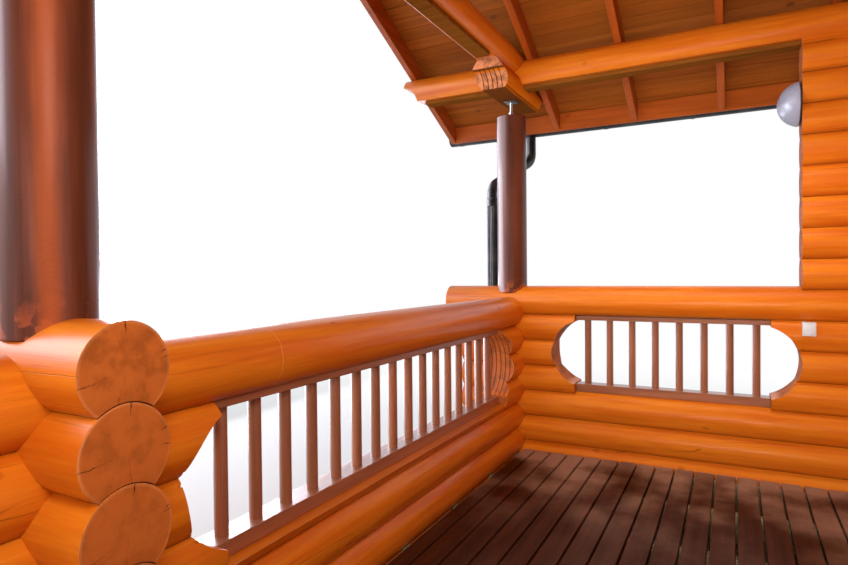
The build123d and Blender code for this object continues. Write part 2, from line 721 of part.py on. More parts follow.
def save(name, solids):
    shapes = solids if isinstance(solids, list) else [solids]
    pieces = []
    for shape in shapes:
        pieces.extend(shape.solids())
    result = pieces[0] if len(pieces) == 1 else Compound(children=pieces)
    export_step(result, f"parts/{name}.step")


def main():
    os.makedirs("parts", exist_ok=True)
    names = {0: "even", 1: "odd"}
    left = side_wall(HALF_SPAN)
    right = side_wall(-HALF_SPAN)
    front = front_wall()
    pillar = middle_pillar()
    cabin, gables = cabin_wall()
    pockets = joist_pockets()
    for parity, name in names.items():
        save(f"left_wall_{name}_logs", left[parity])
        save(f"right_wall_{name}_logs", right[parity])
        save(f"middle_pillar_{name}_logs", pillar[parity])
        save(f"front_wall_{name}_logs", housed(front[parity], pockets))
        save(f"cabin_wall_{name}_logs", housed(cabin[parity], pockets))
        save(f"cabin_gable_{name}_logs", gables[parity])
    for side, sign in (("left", 1), ("right", -1)):
        save(f"{side}_purlin", purlin(sign * HALF_SPAN))
        save(f"{side}_post", post(sign * HALF_SPAN))
        save(f"{side}_balustrade", side_balustrade(sign * HALF_SPAN))
        save(f"front_{side}_balustrade", front_balustrade(sign))
        save(f"{side}_rafters", rafters(sign))
        save(f"{side}_roof_boards", roof_layer(sign, 0, ROOF_BOARD, -BARGE_FACE, CABIN_END, 0))
        save(f"{side}_roofing", roof_layer(sign, ROOF_BOARD, ROOFING, -BARGE_FACE - ROOFING_OVERHANG,
                                           CABIN_END, ROOFING_OVERHANG))
    save("middle_post", post(0))
    save("screw_jacks", [screw_jack(y) for y in (-HALF_SPAN, 0, HALF_SPAN)])
    save("bolsters", [bolster(y) for y in (-HALF_SPAN, 0, HALF_SPAN)])
    save("tie_beam", tie_beam())
    save("beam_planks", beam_planks())
    save("king_post", king_post())
    save("ridge_log", ridge_log())
    save("ridge_cap", ridge_cap())
    save("barge_rafters", [rafter(-BARGE_FACE, -BARGE_FACE + RAFTER_WIDTH, sign) for sign in (-1, 1)])
    save("fascias", [fascia(sign) for sign in (-1, 1)])
    save("gutters", [gutter(sign) for sign in (-1, 1)])
    save("downpipes", [downpipe(sign) for sign in (-1, 1)])
    save("pipe_clips", pipe_clips())
    save("deck", deck())
    save("deck_joists", joists())
    save("door_frame", door_frame())
    glass, base = wall_lamp()
    save("lamp_glass", glass)
    save("lamp_base", base)
    save("socket_box", socket_box())


if __name__ == "__main__":
    main()
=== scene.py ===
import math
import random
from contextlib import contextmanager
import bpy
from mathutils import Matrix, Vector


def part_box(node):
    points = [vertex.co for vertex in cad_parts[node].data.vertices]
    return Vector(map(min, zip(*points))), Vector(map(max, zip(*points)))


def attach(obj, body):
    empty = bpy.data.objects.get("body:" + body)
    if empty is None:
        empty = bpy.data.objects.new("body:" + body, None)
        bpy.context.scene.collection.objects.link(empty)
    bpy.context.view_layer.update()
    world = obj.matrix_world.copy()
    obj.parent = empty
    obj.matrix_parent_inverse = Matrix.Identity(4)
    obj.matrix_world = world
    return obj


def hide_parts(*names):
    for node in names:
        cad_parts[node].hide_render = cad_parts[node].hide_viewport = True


bl_info = {
    "name": "Log Cabin Veranda",
    "version": (1, 0, 0),
    "blender": (4, 5, 0),
    "location": "View3D > Sidebar > Veranda",
    "description": "Dresses the covered end veranda of a log cabin",
    "category": "Object",
}

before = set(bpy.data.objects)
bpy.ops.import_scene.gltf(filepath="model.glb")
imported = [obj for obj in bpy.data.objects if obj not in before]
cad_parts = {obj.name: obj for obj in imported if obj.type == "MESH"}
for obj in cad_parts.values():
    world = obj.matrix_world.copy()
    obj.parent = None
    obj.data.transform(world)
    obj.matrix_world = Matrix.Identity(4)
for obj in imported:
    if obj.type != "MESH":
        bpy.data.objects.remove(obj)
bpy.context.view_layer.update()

import bpy
import numpy as np
from mathutils import Matrix, Vector

COURSE = 0.170
LOG_RADIUS = 0.105
ROOF_TURN = math.atan(0.4806)
MERGE = 0.00002
FLAT = math.radians(0.4)
SMOOTH = math.radians(20)
CREASE = math.radians(35)
SHARP = math.radians(60)
SEED_STEP = 13.7

AXES = {"X": (0, 1, 2), "Y": (1, 0, 2), "Z": (2, 0, 1)}


def display(red, green, blue):
    """A colour as a screen shows it, from 0 to 255, in linear light."""
    channels = []
    for value in (red, green, blue):
        share = value / 255
        low = share / 12.92
        high = ((share + 0.055) / 1.055) ** 2.4
        channels.append(low if share <= 0.04045 else high)
    return tuple(channels)


def middle(node):
    low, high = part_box(node)
    return (low + high) / 2


# Settings

def metres(name, description, default):
    return bpy.props.FloatProperty(name=name, description=description, default=default, unit="LENGTH")


def degrees(name, description, value):
    return bpy.props.FloatProperty(
        name=name, description=description, default=math.radians(value), subtype="ANGLE")


def tint(name, description, *shown):
    return bpy.props.FloatVectorProperty(
        name=name, description=description, default=display(*shown), subtype="COLOR")


class LogSettings(bpy.types.PropertyGroup):
    """Sizes and glaze of the round logs."""
    chamfer: metres("End chamfer", "Width of the broken edge round each log end", 0.0035)
    glaze: tint("Glaze", "Colour of the glazed log sides", 234, 134, 30)
    deep_glaze: tint("Deep glaze", "Colour where the glaze lies thicker", 214, 104, 16)
    end_grain: tint("End grain", "Colour of the sawn log ends", 188, 98, 38)
    post: tint("Post", "Colour of the varnished posts", 112, 56, 34)


class BoardSettings(bpy.types.PropertyGroup):
    """Sizes and colours of planks, deck boards and roof boards."""
    edge: metres("Edge round", "Round on the edges of planks and rafters", 0.003)
    deck_width: metres("Deck board", "Width of a deck board", 0.097)
    deck_pitch: metres("Deck pitch", "Distance from one deck board to the next", 0.107)
    roof_pitch: metres("Roof board", "Cover width of a roof board", 0.095)
    plank: tint("Plank", "Colour of the rail planks and balusters", 182, 112, 76)
    rafter: tint("Rafter", "Colour of the rafters and fascias", 200, 98, 34)
    roof: tint("Roof boards", "Colour of the underside of the roof", 184, 102, 34)
    beam: tint("Beam planks", "Colour of the planks under the beams", 152, 92, 34)
    deck: tint("Deck", "Colour of the deck boards", 86, 41, 16)


class RoofSettings(bpy.types.PropertyGroup):
    """Sizes and colours of the roof covering and the rainwater goods."""
    exposure: metres("Exposure", "Height of a shingle that shows", 0.145)
    tab: metres("Tab", "Width of a shingle's tab", 0.2)
    flutes: bpy.props.IntProperty(
        name="Flutes", description="Number of flutes round a downpipe", default=20, min=8, max=40)
    felt: tint("Felt", "Colour of the shingles", 66, 64, 62)
    metal: tint("Coating", "Colour of the gutters and downpipes", 22, 23, 26)


class StageSettings(bpy.types.PropertyGroup):
    """Viewpoint, floor and light."""
    place: bpy.props.FloatVectorProperty(
        name="Camera", description="Place of the camera", subtype="TRANSLATION", unit="LENGTH",
        default=(1.3637, -0.7804, 1.5550))
    yaw: degrees("Yaw", "Turn of the camera to the left of straight on", 27.831)
    pitch: degrees("Pitch", "Fall of the camera's line of sight", 0.867)
    roll: degrees("Roll", "Roll of the camera", -0.552)
    lens: bpy.props.FloatProperty(
        name="Lens", description="Focal length", default=25.01, min=10, max=100)
    sky: bpy.props.FloatProperty(
        name="Sky", description="Strength of the light from all round", default=0.85, min=0)
    floor: tint("Floor", "Colour of the floor", 226, 226, 224)


# Handling of pieces

def only(piece):
    """Select one piece alone and make it the active one."""
    bpy.ops.object.select_all(action="DESELECT")
    piece.select_set(True)
    bpy.context.view_layer.objects.active = piece


def added(name):
    """The object that an operator has just added, renamed."""
    piece = bpy.context.active_object
    piece.name = name
    piece.data.name = name
    return piece


def settle(piece):
    """Put the object's place into its mesh."""
    only(piece)
    bpy.ops.object.transform_apply(location=True, rotation=True, scale=True)
    return piece


def linked(piece):
    """A new object, put into the scene."""
    bpy.context.scene.collection.objects.link(piece)
    return piece


@contextmanager
def edit_mode(everything=True):
    """Edit mode for the active piece, with all of it selected unless told otherwise."""
    bpy.ops.object.mode_set(mode="EDIT")
    if everything:
        bpy.ops.mesh.select_all(action="SELECT")
    yield
    bpy.ops.object.mode_set(mode="OBJECT")


def extrude(*step):
    bpy.ops.mesh.extrude_region_move(TRANSFORM_OT_translate={"value": step})


def mend(merge=False):
    """In edit mode, turn all faces outward, where wanted with the seams closed."""
    bpy.ops.mesh.select_all(action="SELECT")
    if merge:
        bpy.ops.mesh.remove_doubles(threshold=MERGE)
    bpy.ops.mesh.normals_make_consistent(inside=False)


def modify(piece, kind, **settings):
    """Add a modifier and apply it."""
    only(piece)
    modifier = piece.modifiers.new(kind.title(), kind)
    for key, value in settings.items():
        setattr(modifier, key, value)
    bpy.ops.object.modifier_apply(modifier=modifier.name)
    return piece


def eased(piece, width, segments=2, **settings):
    """Round or chamfer the sharp edges of a piece."""
    return modify(piece, "BEVEL", width=width, segments=segments, limit_method="ANGLE", **settings)


def smooth(piece, limit=SMOOTH):
    only(piece)
    bpy.ops.object.shade_smooth_by_angle(angle=limit, keep_sharp_edges=False)
    return piece


def joined(pieces, name):
    """Several meshes as one piece."""
    only(pieces[0])
    for piece in pieces:
        piece.select_set(True)
    if len(pieces) > 1:
        bpy.ops.object.join()
    return added(name)


def moved(x, y, z):
    return Matrix.Translation((x, y, z))


def copy_of(piece, matrix):
    """A copy with its own mesh, moved by the matrix."""
    twin = piece.copy()
    twin.data = piece.data.copy()
    twin.data.transform(matrix)
    return linked(twin)


def spread(piece, matrices):
    """Copies of a piece, one for each matrix, in place of the piece itself."""
    copies = [copy_of(piece, matrix) for matrix in matrices]
    bpy.data.objects.remove(piece)
    return copies


def cad_copy(node, name):
    """A merged copy of a CAD node with its flat faces made whole."""
    piece = linked(bpy.data.objects.new(name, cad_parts[node].data.copy()))
    piece.data.materials.clear()
    only(piece)
    bpy.ops.mesh.customdata_custom_splitnormals_clear()
    with edit_mode():
        bpy.ops.mesh.remove_doubles(threshold=MERGE)
        bpy.ops.mesh.dissolve_limited(angle_limit=FLAT)
    return piece


def bevel_edges(piece, width, wanted):
    """Bevel the edges between two faces for which wanted(edge, face normals) is true."""
    mesh = piece.data
    normals = {}
    for face in mesh.polygons:
        face.select = False
        for key in face.edge_keys:
            normals.setdefault(key, []).append(face.normal)
    for vertex in mesh.vertices:
        vertex.select = False
    count = 0
    for edge in mesh.edges:
        sides = normals.get(edge.key, [])
        edge.select = len(sides) == 2 and wanted(edge, sides)
        count += edge.select
    if count:
        only(piece)
        with edit_mode(everything=False):
            bpy.ops.mesh.select_mode(type="EDGE", use_extend=False, use_expand=False)
            bpy.ops.mesh.bevel(offset=width, segments=1, affect="EDGES", clamp_overlap=True)


def chamfer_ends(piece, axis, width):
    """Break the edges round the faces that square off the axis."""
    number = "XYZ".index(axis)

    def at_end(edge, normals):
        ends = [abs(normal[number]) > 0.99 for normal in normals]
        return ends[0] != ends[1]

    bevel_edges(piece, width, at_end)


def plank(name, low, high, edge):
    """A board between two corners, with its long edges rounded."""
    low, high = Vector(low), Vector(high)
    bpy.ops.object.select_all(action="DESELECT")
    bpy.ops.mesh.primitive_cube_add(size=1, location=(low + high) / 2)
    piece = added(name)
    piece.scale = high - low
    settle(piece)
    if edge:
        eased(piece, edge)
    return piece


def outline(points):
    """An edge chain through the points, drawn by extruding one vertex."""
    bpy.ops.object.select_all(action="DESELECT")
    bpy.ops.mesh.primitive_plane_add(size=0.001, location=points[0])
    piece = added("outline")
    with edit_mode():
        bpy.ops.mesh.select_mode(type="VERT", use_extend=False, use_expand=False)
        bpy.ops.mesh.select_all(action="SELECT")
        bpy.ops.mesh.merge(type="CENTER")
        for first, second in zip(points, points[1:]):
            extrude(*(Vector(second) - Vector(first)))
    return settle(piece)


def lathe(name, points, steps):
    """A turned piece: (radius, height) points spun round Z."""
    outline([(radius, 0, height) for radius, height in points])
    with edit_mode():
        bpy.ops.mesh.spin(steps=steps, angle=2 * math.pi, center=(0, 0, 0), axis=(0, 0, 1))
        mend(merge=True)
    return added(name)


def mark_grain(piece, axis, centre, pitch=(0, 0, 0), seed=0.0, turn=0.0):
    """Store where each point lies in its own log or board, for the wood materials.

    axis is the way the grain runs, centre a point on one board's middle line, pitch the
    distance from one board to the next, and turn the slope of the boards about X.
    """
    mesh = piece.data
    count = len(mesh.vertices)
    places = np.zeros(count * 3)
    mesh.vertices.foreach_get("co", places)
    cosine, sine = math.cos(turn), math.sin(turn)
    back = np.array(((1, 0, 0), (0, cosine, sine), (0, -sine, cosine)))
    local = (places.reshape(-1, 3) - np.array(centre, float)) @ back.T
    number = np.full(count, float(seed))
    for side, step in enumerate(pitch):
        if step:
            index = np.round(local[:, side] / step)
            local[:, side] -= index * step
            number += index * SEED_STEP * (side + 1)
    order = AXES[axis]
    placed = local[:, order]
    placed[:, 0] += number
    direction = np.zeros(3)
    direction[order[0]] = 1
    directions = np.tile(back.T @ direction, (count, 1))
    for name, kind, field, values in (("grain_place", "FLOAT_VECTOR", "vector", placed),
                                      ("grain_axis", "FLOAT_VECTOR", "vector", directions),
                                      ("grain_number", "FLOAT", "value", number)):
        attribute = mesh.attributes.new(name, kind, "POINT")
        attribute.data.foreach_set(field, values.astype(np.float32).ravel())


def turn_grain(piece, angle):
    """Turn the stored grain about the log's own axis."""
    stored = piece.data.attributes["grain_place"].data
    values = np.zeros(len(stored) * 3, np.float32)
    stored.foreach_get("vector", values)
    values = values.reshape(-1, 3)
    cosine, sine = math.cos(angle), math.sin(angle)
    values[:, 1:] = values[:, 1:] @ np.array(((cosine, sine), (-sine, cosine)), np.float32)
    stored.foreach_set("vector", values.ravel())


def finish(piece, kind, slot, *nodes):
    """Give a piece its material and its place in the frame."""
    piece.data.materials.clear()
    piece.data.materials.append(material_of(kind))
    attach(piece, "root")
    if nodes:
        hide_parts(*nodes)
    piece.select_set(False)


def dressed_copy(node, kind, slot, axis, centre, pitch=(0, 0, 0), edge=0.003, seed=0.0, turn=0.0):
    """A sawn CAD piece with its edges broken and its grain laid in."""
    piece = cad_copy(node, node + "_dressed")
    eased(piece, edge, segments=1, angle_limit=SHARP)
    smooth(piece)
    mark_grain(piece, axis, centre, pitch, seed, turn)
    finish(piece, kind, slot, node)


# Shader trees

class Wire:
    """A shader socket that can stand in a formula."""

    def __init__(self, socket):
        self.socket = socket
        self.tree = socket.id_data

    def __add__(self, other):
        return maths("ADD", self, other)

    def __sub__(self, other):
        return maths("SUBTRACT", self, other)

    def __mul__(self, other):
        return maths("MULTIPLY", self, other)

    def __truediv__(self, other):
        return maths("DIVIDE", self, other)

    def __abs__(self):
        return maths("ABSOLUTE", self)


class Node:
    """A shader node, whose outputs are wires."""

    def __init__(self, made):
        self.made = made

    def __getitem__(self, key):
        return Wire(self.made.outputs[key])


def plug(value, socket):
    """Feed a socket from a wire, a number, a vector or a colour."""
    if isinstance(value, Wire):
        value.tree.links.new(value.socket, socket)
    else:
        socket.default_value = (*value[:3], 1) if socket.type == "RGBA" else value


def node(tree, kind, inputs=None, **settings):
    made = tree.nodes.new("ShaderNode" + kind)
    for key, value in settings.items():
        setattr(made, key, value)
    for key, value in (inputs or {}).items():
        plug(value, made.inputs[key])
    return Node(made)


def maths(operation, *values):
    """A number's or a vector's operation, depending on what goes in."""
    wires = [value for value in values if isinstance(value, Wire)]
    many = any(wire.socket.type != "VALUE" for wire in wires) or any(
        isinstance(value, tuple) for value in values)
    made = node(wires[0].tree, "VectorMath" if many else "Math", dict(enumerate(values)),
                operation=operation)
    return made["Value" if operation in ("DOT_PRODUCT", "LENGTH") else 0]


def scaled(vector, factor):
    return node(vector.tree, "VectorMath", {0: vector, "Scale": factor}, operation="SCALE")[0]


def xyz(vector):
    return node(vector.tree, "SeparateXYZ", {0: vector})


def first_channel(colour):
    return node(colour.tree, "SeparateColor", {0: colour})[0]


def object_place(tree):
    return node(tree, "TexCoord")["Object"]


def surface_normal(tree):
    return node(tree, "NewGeometry")["Normal"]


def drawn_number(number):
    """A number between 0 and 1 that looks drawn by lot."""
    return node(number.tree, "TexWhiteNoise", {"W": number}, noise_dimensions="1D")["Value"]


def remap(value, low, high, to_low=0.0, to_high=1.0):
    """The value moved softly from one range to another, and kept inside it."""
    made = node(value.tree, "MapRange", {"Value": value, "From Min": low, "From Max": high,
                                         "To Min": to_low, "To Max": to_high},
                interpolation_type="SMOOTHSTEP")
    return made["Result"]


def window(value, low, high, soft):
    """1 between two values, with a soft step on each side."""
    return remap(value, low - soft, low + soft) * remap(value, high + soft, high - soft)


def noise(vector, scale, detail=2.0, roughness=0.5, output="Fac"):
    return node(vector.tree, "TexNoise", {"Vector": vector, "Scale": scale, "Detail": detail,
                                          "Roughness": roughness})[output]


def blend(share, first, second):
    """Mix two colours."""
    tree = next(value.tree for value in (share, first, second) if isinstance(value, Wire))
    return node(tree, "Mix", {0: share, 6: first, 7: second}, data_type="RGBA")[2]


def bump(height, strength, distance):
    return node(height.tree, "Bump", {"Height": height, "Strength": strength,
                                      "Distance": distance})["Normal"]


def shaded(colour, share):
    return tuple(channel * share for channel in colour)


# Shared groups

GROUP_MAKERS = {}
GROUPS = {}
MATERIALS = {}

ACROSS = (0.0, 1.0, 1.0)
HALF = (0.5, 0.5, 0.5)

# Angle, inner end, outer end and width of the cracks on a sawn end, as shares of its radius
END_CRACKS = ((92, 0.68, 1.02, 0.022), (202, 0.30, 1.02, 0.010), (-6, 0.72, 1.02, 0.012),
              (36, 0.80, 1.02, 0.016), (268, 0.06, 0.80, 0.010))


def shared_group(**inputs):
    """Keep a function as the maker of a node group. An input without a number is a vector."""
    def keep(wiring):
        def make():
            tree = bpy.data.node_groups.new(wiring.__name__, "ShaderNodeTree")
            for label, value in inputs.items():
                kind = "NodeSocketVector" if value is None else "NodeSocketFloat"
                socket = tree.interface.new_socket(label, in_out="INPUT", socket_type=kind)
                if value is not None:
                    socket.default_value = value
            entry = Node(tree.nodes.new("NodeGroupInput"))
            results = wiring(*(entry[label] for label in inputs))
            for label in results:
                tree.interface.new_socket(label, in_out="OUTPUT", socket_type="NodeSocketFloat")
            leave = tree.nodes.new("NodeGroupOutput").inputs
            for label, wire in results.items():
                plug(wire, leave[label])
            return tree
        GROUP_MAKERS[wiring.__name__] = make
        return wiring
    return keep


def group(tree, name, **inputs):
    """One of the shared groups, built once, placed in a material."""
    if name not in GROUPS:
        GROUPS[name] = GROUP_MAKERS[name]()
    made = tree.nodes.new("ShaderNodeGroup")
    made.node_tree = GROUPS[name]
    for key, value in inputs.items():
        plug(value, made.inputs[key])
    return Node(made)


@shared_group(Place=None, Ring=0.004, Wander=0.03)
def wood_figure(place, ring, wander):
    """Growth rings cut by the surface, long streaks and fine fibres."""
    bend = (noise(place * (0.8, 3.0, 3.0), 1.0, output="Color") - HALF) * ACROSS
    radius = maths("LENGTH", place * ACROSS + scaled(bend, wander))
    wave = maths("SINE", radius / ring * (2 * math.pi))
    return {"Rings": maths("MULTIPLY_ADD", wave, 0.5, 0.5),
            "Streaks": remap(noise(place * (1.3, 24.0, 24.0), 1.0, 4.0, 0.6), 0.3, 0.7),
            "Fibres": remap(noise(place * (9.0, 260.0, 260.0), 1.0, 3.0, 0.65), 0.3, 0.7)}


@shared_group(Place=None, Scale=6.5, Size=0.11)
def wood_knots(place, scale, size):
    """Sparse knots, darkest in the middle, with a thin ring."""
    wobble = noise(place, 40.0, output="Color") * (0.01, 0.01, 0.01)
    cells = node(place.tree, "TexVoronoi", {"Vector": (place + wobble) * (0.7, 1.0, 1.0),
                                            "Scale": scale}, feature="F1")
    shown = remap(first_channel(cells["Color"]), 0.5, 0.51)
    share = cells["Distance"] / size
    ring = remap(share, 0.45, 0.8) * remap(share, 1.15, 0.85)
    return {"Knot": remap(share, 1.1, 0.35) * shown, "Ring": ring * shown}


@shared_group(Place=None, Width=0.012, Spread=1.6)
def drying_checks(place, width, spread):
    """Drying checks: radial cracks on an end, which run on along the sides."""
    way = scaled(maths("NORMALIZE", place * ACROSS), spread)
    jag = noise(place, 60.0, output="Color") * (0.0, 0.05, 0.05)
    value = abs(noise(way + place * (0.5, 0.0, 0.0) + jag, 1.0, 0.0) - 0.5)
    kept = remap(noise(place * (1.6, 9.0, 9.0), 1.0, 1.0), 0.5, 0.56)
    return {"Check": remap(value / width, 1.0, 0.4) * kept}


@shared_group(Place=None, Number=0.0, Radius=LOG_RADIUS)
def radial_cracks(place, number, radius):
    """Cracks that run in from the rim of a sawn end and one from its pith, turned from log to log."""
    jag = (noise(place, 55.0, 3.0, output="Color") - HALF) * (0.0, 0.012, 0.012)
    place = xyz(place + jag)
    across, upward = place["Y"] / radius, place["Z"] / radius
    found = None
    for count, (turn, inner, outer, width) in enumerate(END_CRACKS):
        drawn = drawn_number(number + count * 0.37)
        way = maths("MULTIPLY_ADD", drawn, 0.7, math.radians(turn) - 0.35)
        cosine, sine = maths("COSINE", way), maths("SINE", way)
        ahead = maths("MULTIPLY_ADD", across, cosine, upward * sine)
        aside = upward * cosine - across * sine
        opening = maths("MAXIMUM", remap(ahead, inner, 1.0, 0.0, width), 0.002)
        span = remap(ahead, inner, inner + 0.04) * remap(ahead, outer, outer - 0.02)
        crack = remap(abs(aside) / opening, 1.2, 0.5) * span
        found = maths("MAXIMUM", found, crack) if found else crack
    return {"Crack": found}


@shared_group(Axis=None)
def end_mask(axis):
    """Where a surface cuts across the grain."""
    return {"End": remap(abs(maths("DOT_PRODUCT", surface_normal(axis.tree), axis)), 0.35, 0.6)}


@shared_group(Scale=6.0, Amount=0.3)
def dust(scale, amount):
    """Uneven patches, for roughness and a film of dust."""
    place = object_place(scale.tree)
    return {"Dust": remap(noise(place, scale, 5.0), 0.35, 0.75) * amount,
            "Speck": remap(noise(place, 220.0, 2.0), 0.62, 0.7)}


# Materials

def new_material(name):
    material = bpy.data.materials.new(name)
    material.use_nodes = True
    tree = material.node_tree
    return material, tree, tree.nodes["Principled BSDF"].inputs


def wood_material(name, light, dark, end, knot=(0.05, 0.02, 0.01), ring=0.004, wander=0.03,
                  pith=(0.0, 0.0, 0.0), ring_depth=0.3, check=0.0, roughness=0.32, coat=0.0,
                  coat_roughness=0.2, specular=0.2, knots=0.3, tone=0.25, paint=None):
    """Solid wood under a finish: rings, streaks, knots and checks, with end grain where it is cut.

    paint(colour, stored, end_cut) adds what only one kind of piece has.
    """
    material, tree, inputs = new_material(name)
    stored = node(tree, "Attribute", attribute_name="grain_place")["Vector"]
    axis = node(tree, "Attribute", attribute_name="grain_axis")["Vector"]
    number = node(tree, "Attribute", attribute_name="grain_number")["Fac"]
    drawn = drawn_number(number)
    figure = group(tree, "wood_figure", Place=stored + pith, Ring=ring, Wander=wander)
    spots = group(tree, "wood_knots", Place=stored)
    end_cut = group(tree, "end_mask", Axis=axis)["End"]
    side = blend(figure["Streaks"], dark, light)
    side = blend(drawn * tone, side, shaded(dark, 0.6))
    side = blend(figure["Rings"] * ring_depth, side, shaded(dark, 0.75))
    side = blend(figure["Fibres"] * 0.16, side, shaded(dark, 0.6))
    side = blend(spots["Knot"] * knots, side, shaded(dark, 0.45))
    side = blend(spots["Ring"] * (knots * 0.4), side, knot)
    patch = remap(noise(stored, 17.0, 6.0, 0.62), 0.44, 0.64) * remap(drawn, 0.2, 1.0, 0.2975, 0.85)
    across = blend(figure["Rings"] * 0.1, end, shaded(end, 0.7))
    across = blend(figure["Streaks"] * 0.2, across, shaded(end, 0.7))
    colour = blend(end_cut, side, blend(patch, across, shaded(end, 0.3)))
    height = maths("MULTIPLY_ADD", figure["Rings"], 0.2, figure["Fibres"] * 0.25)
    if check:
        crack = group(tree, "drying_checks", Place=stored, Width=check)["Check"]
        crack = crack * remap(end_cut, 0.0, 1.0, 0.45, 0.1)
        split = group(tree, "radial_cracks", Place=stored, Number=number)["Crack"]
        crack = maths("MAXIMUM", crack, split * end_cut)
        colour = blend(crack, colour, shaded(knot, 0.4))
        height = maths("MULTIPLY_ADD", crack, -2.0, height)
    if paint:
        colour = paint(colour, stored, end_cut)
    plug(colour, inputs["Base Color"])
    gloss = maths("MULTIPLY_ADD", figure["Streaks"], -0.08, roughness + 0.04)
    plug(maths("MULTIPLY_ADD", end_cut, 0.3, gloss), inputs["Roughness"])
    plug(bump(height, 0.6, 0.0006), inputs["Normal"])
    plug(remap(end_cut, 0.0, 1.0, coat, 0.0), inputs["Coat Weight"])
    plug(coat_roughness, inputs["Coat Roughness"])
    plug(specular, inputs["Specular IOR Level"])
    return material


def rim_highlight_paint(colour, stored, end_cut):
    """A painted highlight: a pale rim round each sawn end."""
    # Painted highlight along the chamfered edge of each sawn end.
    rim = remap(maths("LENGTH", stored * ACROSS), LOG_RADIUS - 0.008, LOG_RADIUS - 0.003)
    return blend(rim * (end_cut * 0.2), colour, display(232, 160, 100))


def bolster_paint(colour, stored, end_cut):
    """Painted shade in the kerfs, and darker brown on the flats that face down."""
    colour = rim_highlight_paint(colour, stored, end_cut)
    normal = xyz(surface_normal(stored.tree))
    # Painted shade inside the kerfs.
    kerf_shade = remap(abs(normal["X"]), 0.7, 0.9) * remap(abs(xyz(stored)["Y"]), 0.09, 0.085)
    colour = blend(kerf_shade, colour, display(70, 32, 16))
    # Darker brown on the flats that face down.
    return blend(remap(normal["Z"], -0.93, -0.98), colour, display(116, 66, 28))


def wall_paint(colour, stored, end_cut):
    """Painted shade on each log's lower side near its scribed joint over the log below, a dark line at
    the joint itself, and hairlines where the left front rail is pieced.
    """
    colour = rim_highlight_paint(colour, stored, end_cut)
    lower = maths("LENGTH", stored * ACROSS + (0.0, 0.0, COURSE))
    # Painted shade: the lower side of each log darkens towards its joint over the log below.
    shade = remap(lower, LOG_RADIUS + 0.035, LOG_RADIUS) * remap(end_cut, 0.0, 1.0, 0.4, 0.15)
    colour = blend(shade, colour, display(96, 34, 8))
    joint = remap(lower, LOG_RADIUS + 0.0035, LOG_RADIUS + 0.0015) * 0.9
    colour = blend(joint, colour, display(34, 16, 8))
    whole = object_place(stored.tree)
    place = xyz(whole)
    along = place["Y"] + noise(whole, 30.0) * 0.01
    line = maths("MAXIMUM", window(along, 0.6545, 0.656, 0.0006), window(along, 2.7005, 2.702, 0.0006))
    line = line * window(place["Z"], 1.19, 1.40, 0.001) * window(place["X"], -0.11, 0.11, 0.001)
    return blend(line * 0.7, colour, display(250, 190, 130))


def post_paint(colour, stored, end_cut):
    """A painted reflection: a lighter streak down one side of the middle post. Also a faint ripple and
    worn spots at the foot.
    """
    whole = xyz(object_place(stored.tree))
    bend = noise(stored * (1.6, 0.0, 0.0), 1.0)
    across = maths("DOT_PRODUCT", stored, (0.0, 0.5, 0.87))
    facing = maths("DOT_PRODUCT", stored, (0.0, 0.87, -0.5))
    fray = noise(stored * (3.0, 30.0, 30.0), 1.0, 4.0, 0.6) * 0.03
    shifted = across + maths("MULTIPLY_ADD", bend, 0.06, -0.036) + fray
    # Painted reflection: a lighter streak down one side of the posts near the middle.
    reflection_streak = window(shifted, -0.016, 0.028, 0.02) * remap(facing, 0.0, 0.05)
    near_middle = remap(abs(whole["Y"]), 1.2, 1.0, 0.0, 0.7)
    colour = blend(reflection_streak * near_middle, colour, display(174, 88, 48))
    wave = maths("SINE", maths("MULTIPLY_ADD", noise(stored, 9.0, 3.0), 60.0, xyz(stored)["X"] * 420.0))
    patch = remap(noise(stored, 7.0), 0.45, 0.65)
    colour = blend(remap(wave, 0.2, 1.0, 0.0, 0.07) * patch, colour, display(40, 18, 14))
    worn = remap(whole["Z"], 1.53, 1.44) * remap(noise(stored, 24.0, 4.0), 0.5, 0.58)
    worn = worn * remap(whole["Z"], 1.30, 1.36)
    return blend(worn * 0.45, colour, display(196, 92, 40))


def deck_paint(colour, stored, end_cut):
    """A patchy paler film that grows towards the wall at +Y, with a band along both walls."""
    across = xyz(object_place(stored.tree))["Y"]
    film = group(stored.tree, "dust", Scale=3.0, Amount=1.0)["Dust"]
    near_wall = remap(abs(across), 2.7, 2.98, 0.0, 0.5)
    return blend(film * remap(across, 1.5, 2.8, 0.05, 1.2) + near_wall, colour, display(158, 122, 98))


def coated_material(name, colour, roughness, metallic=0.0, amount=0.25, film_colour=(0.2, 0.19, 0.17)):
    """Paint, steel or plastic with a film of dust and fine specks."""
    material, tree, inputs = new_material(name)
    film = group(tree, "dust", Scale=7.0, Amount=amount)
    base = blend(film["Dust"], colour, film_colour)
    plug(blend(film["Speck"] * amount, base, film_colour), inputs["Base Color"])
    plug(maths("MULTIPLY_ADD", film["Dust"], 0.6, roughness), inputs["Roughness"])
    plug(bump(film["Speck"], 0.2, 0.0003), inputs["Normal"])
    plug(metallic, inputs["Metallic"])
    return material


def zinc_material(name):
    """Zinc plate with a faint spangle."""
    material, tree, inputs = new_material(name)
    cells = node(tree, "TexVoronoi", {"Vector": object_place(tree), "Scale": 180.0})
    spangle = first_channel(cells["Color"])
    plug(blend(spangle, (0.5, 0.5, 0.49), (0.68, 0.68, 0.66)), inputs["Base Color"])
    plug(remap(spangle, 0.0, 1.0, 0.3, 0.5), inputs["Roughness"])
    plug(0.9, inputs["Metallic"])
    return material


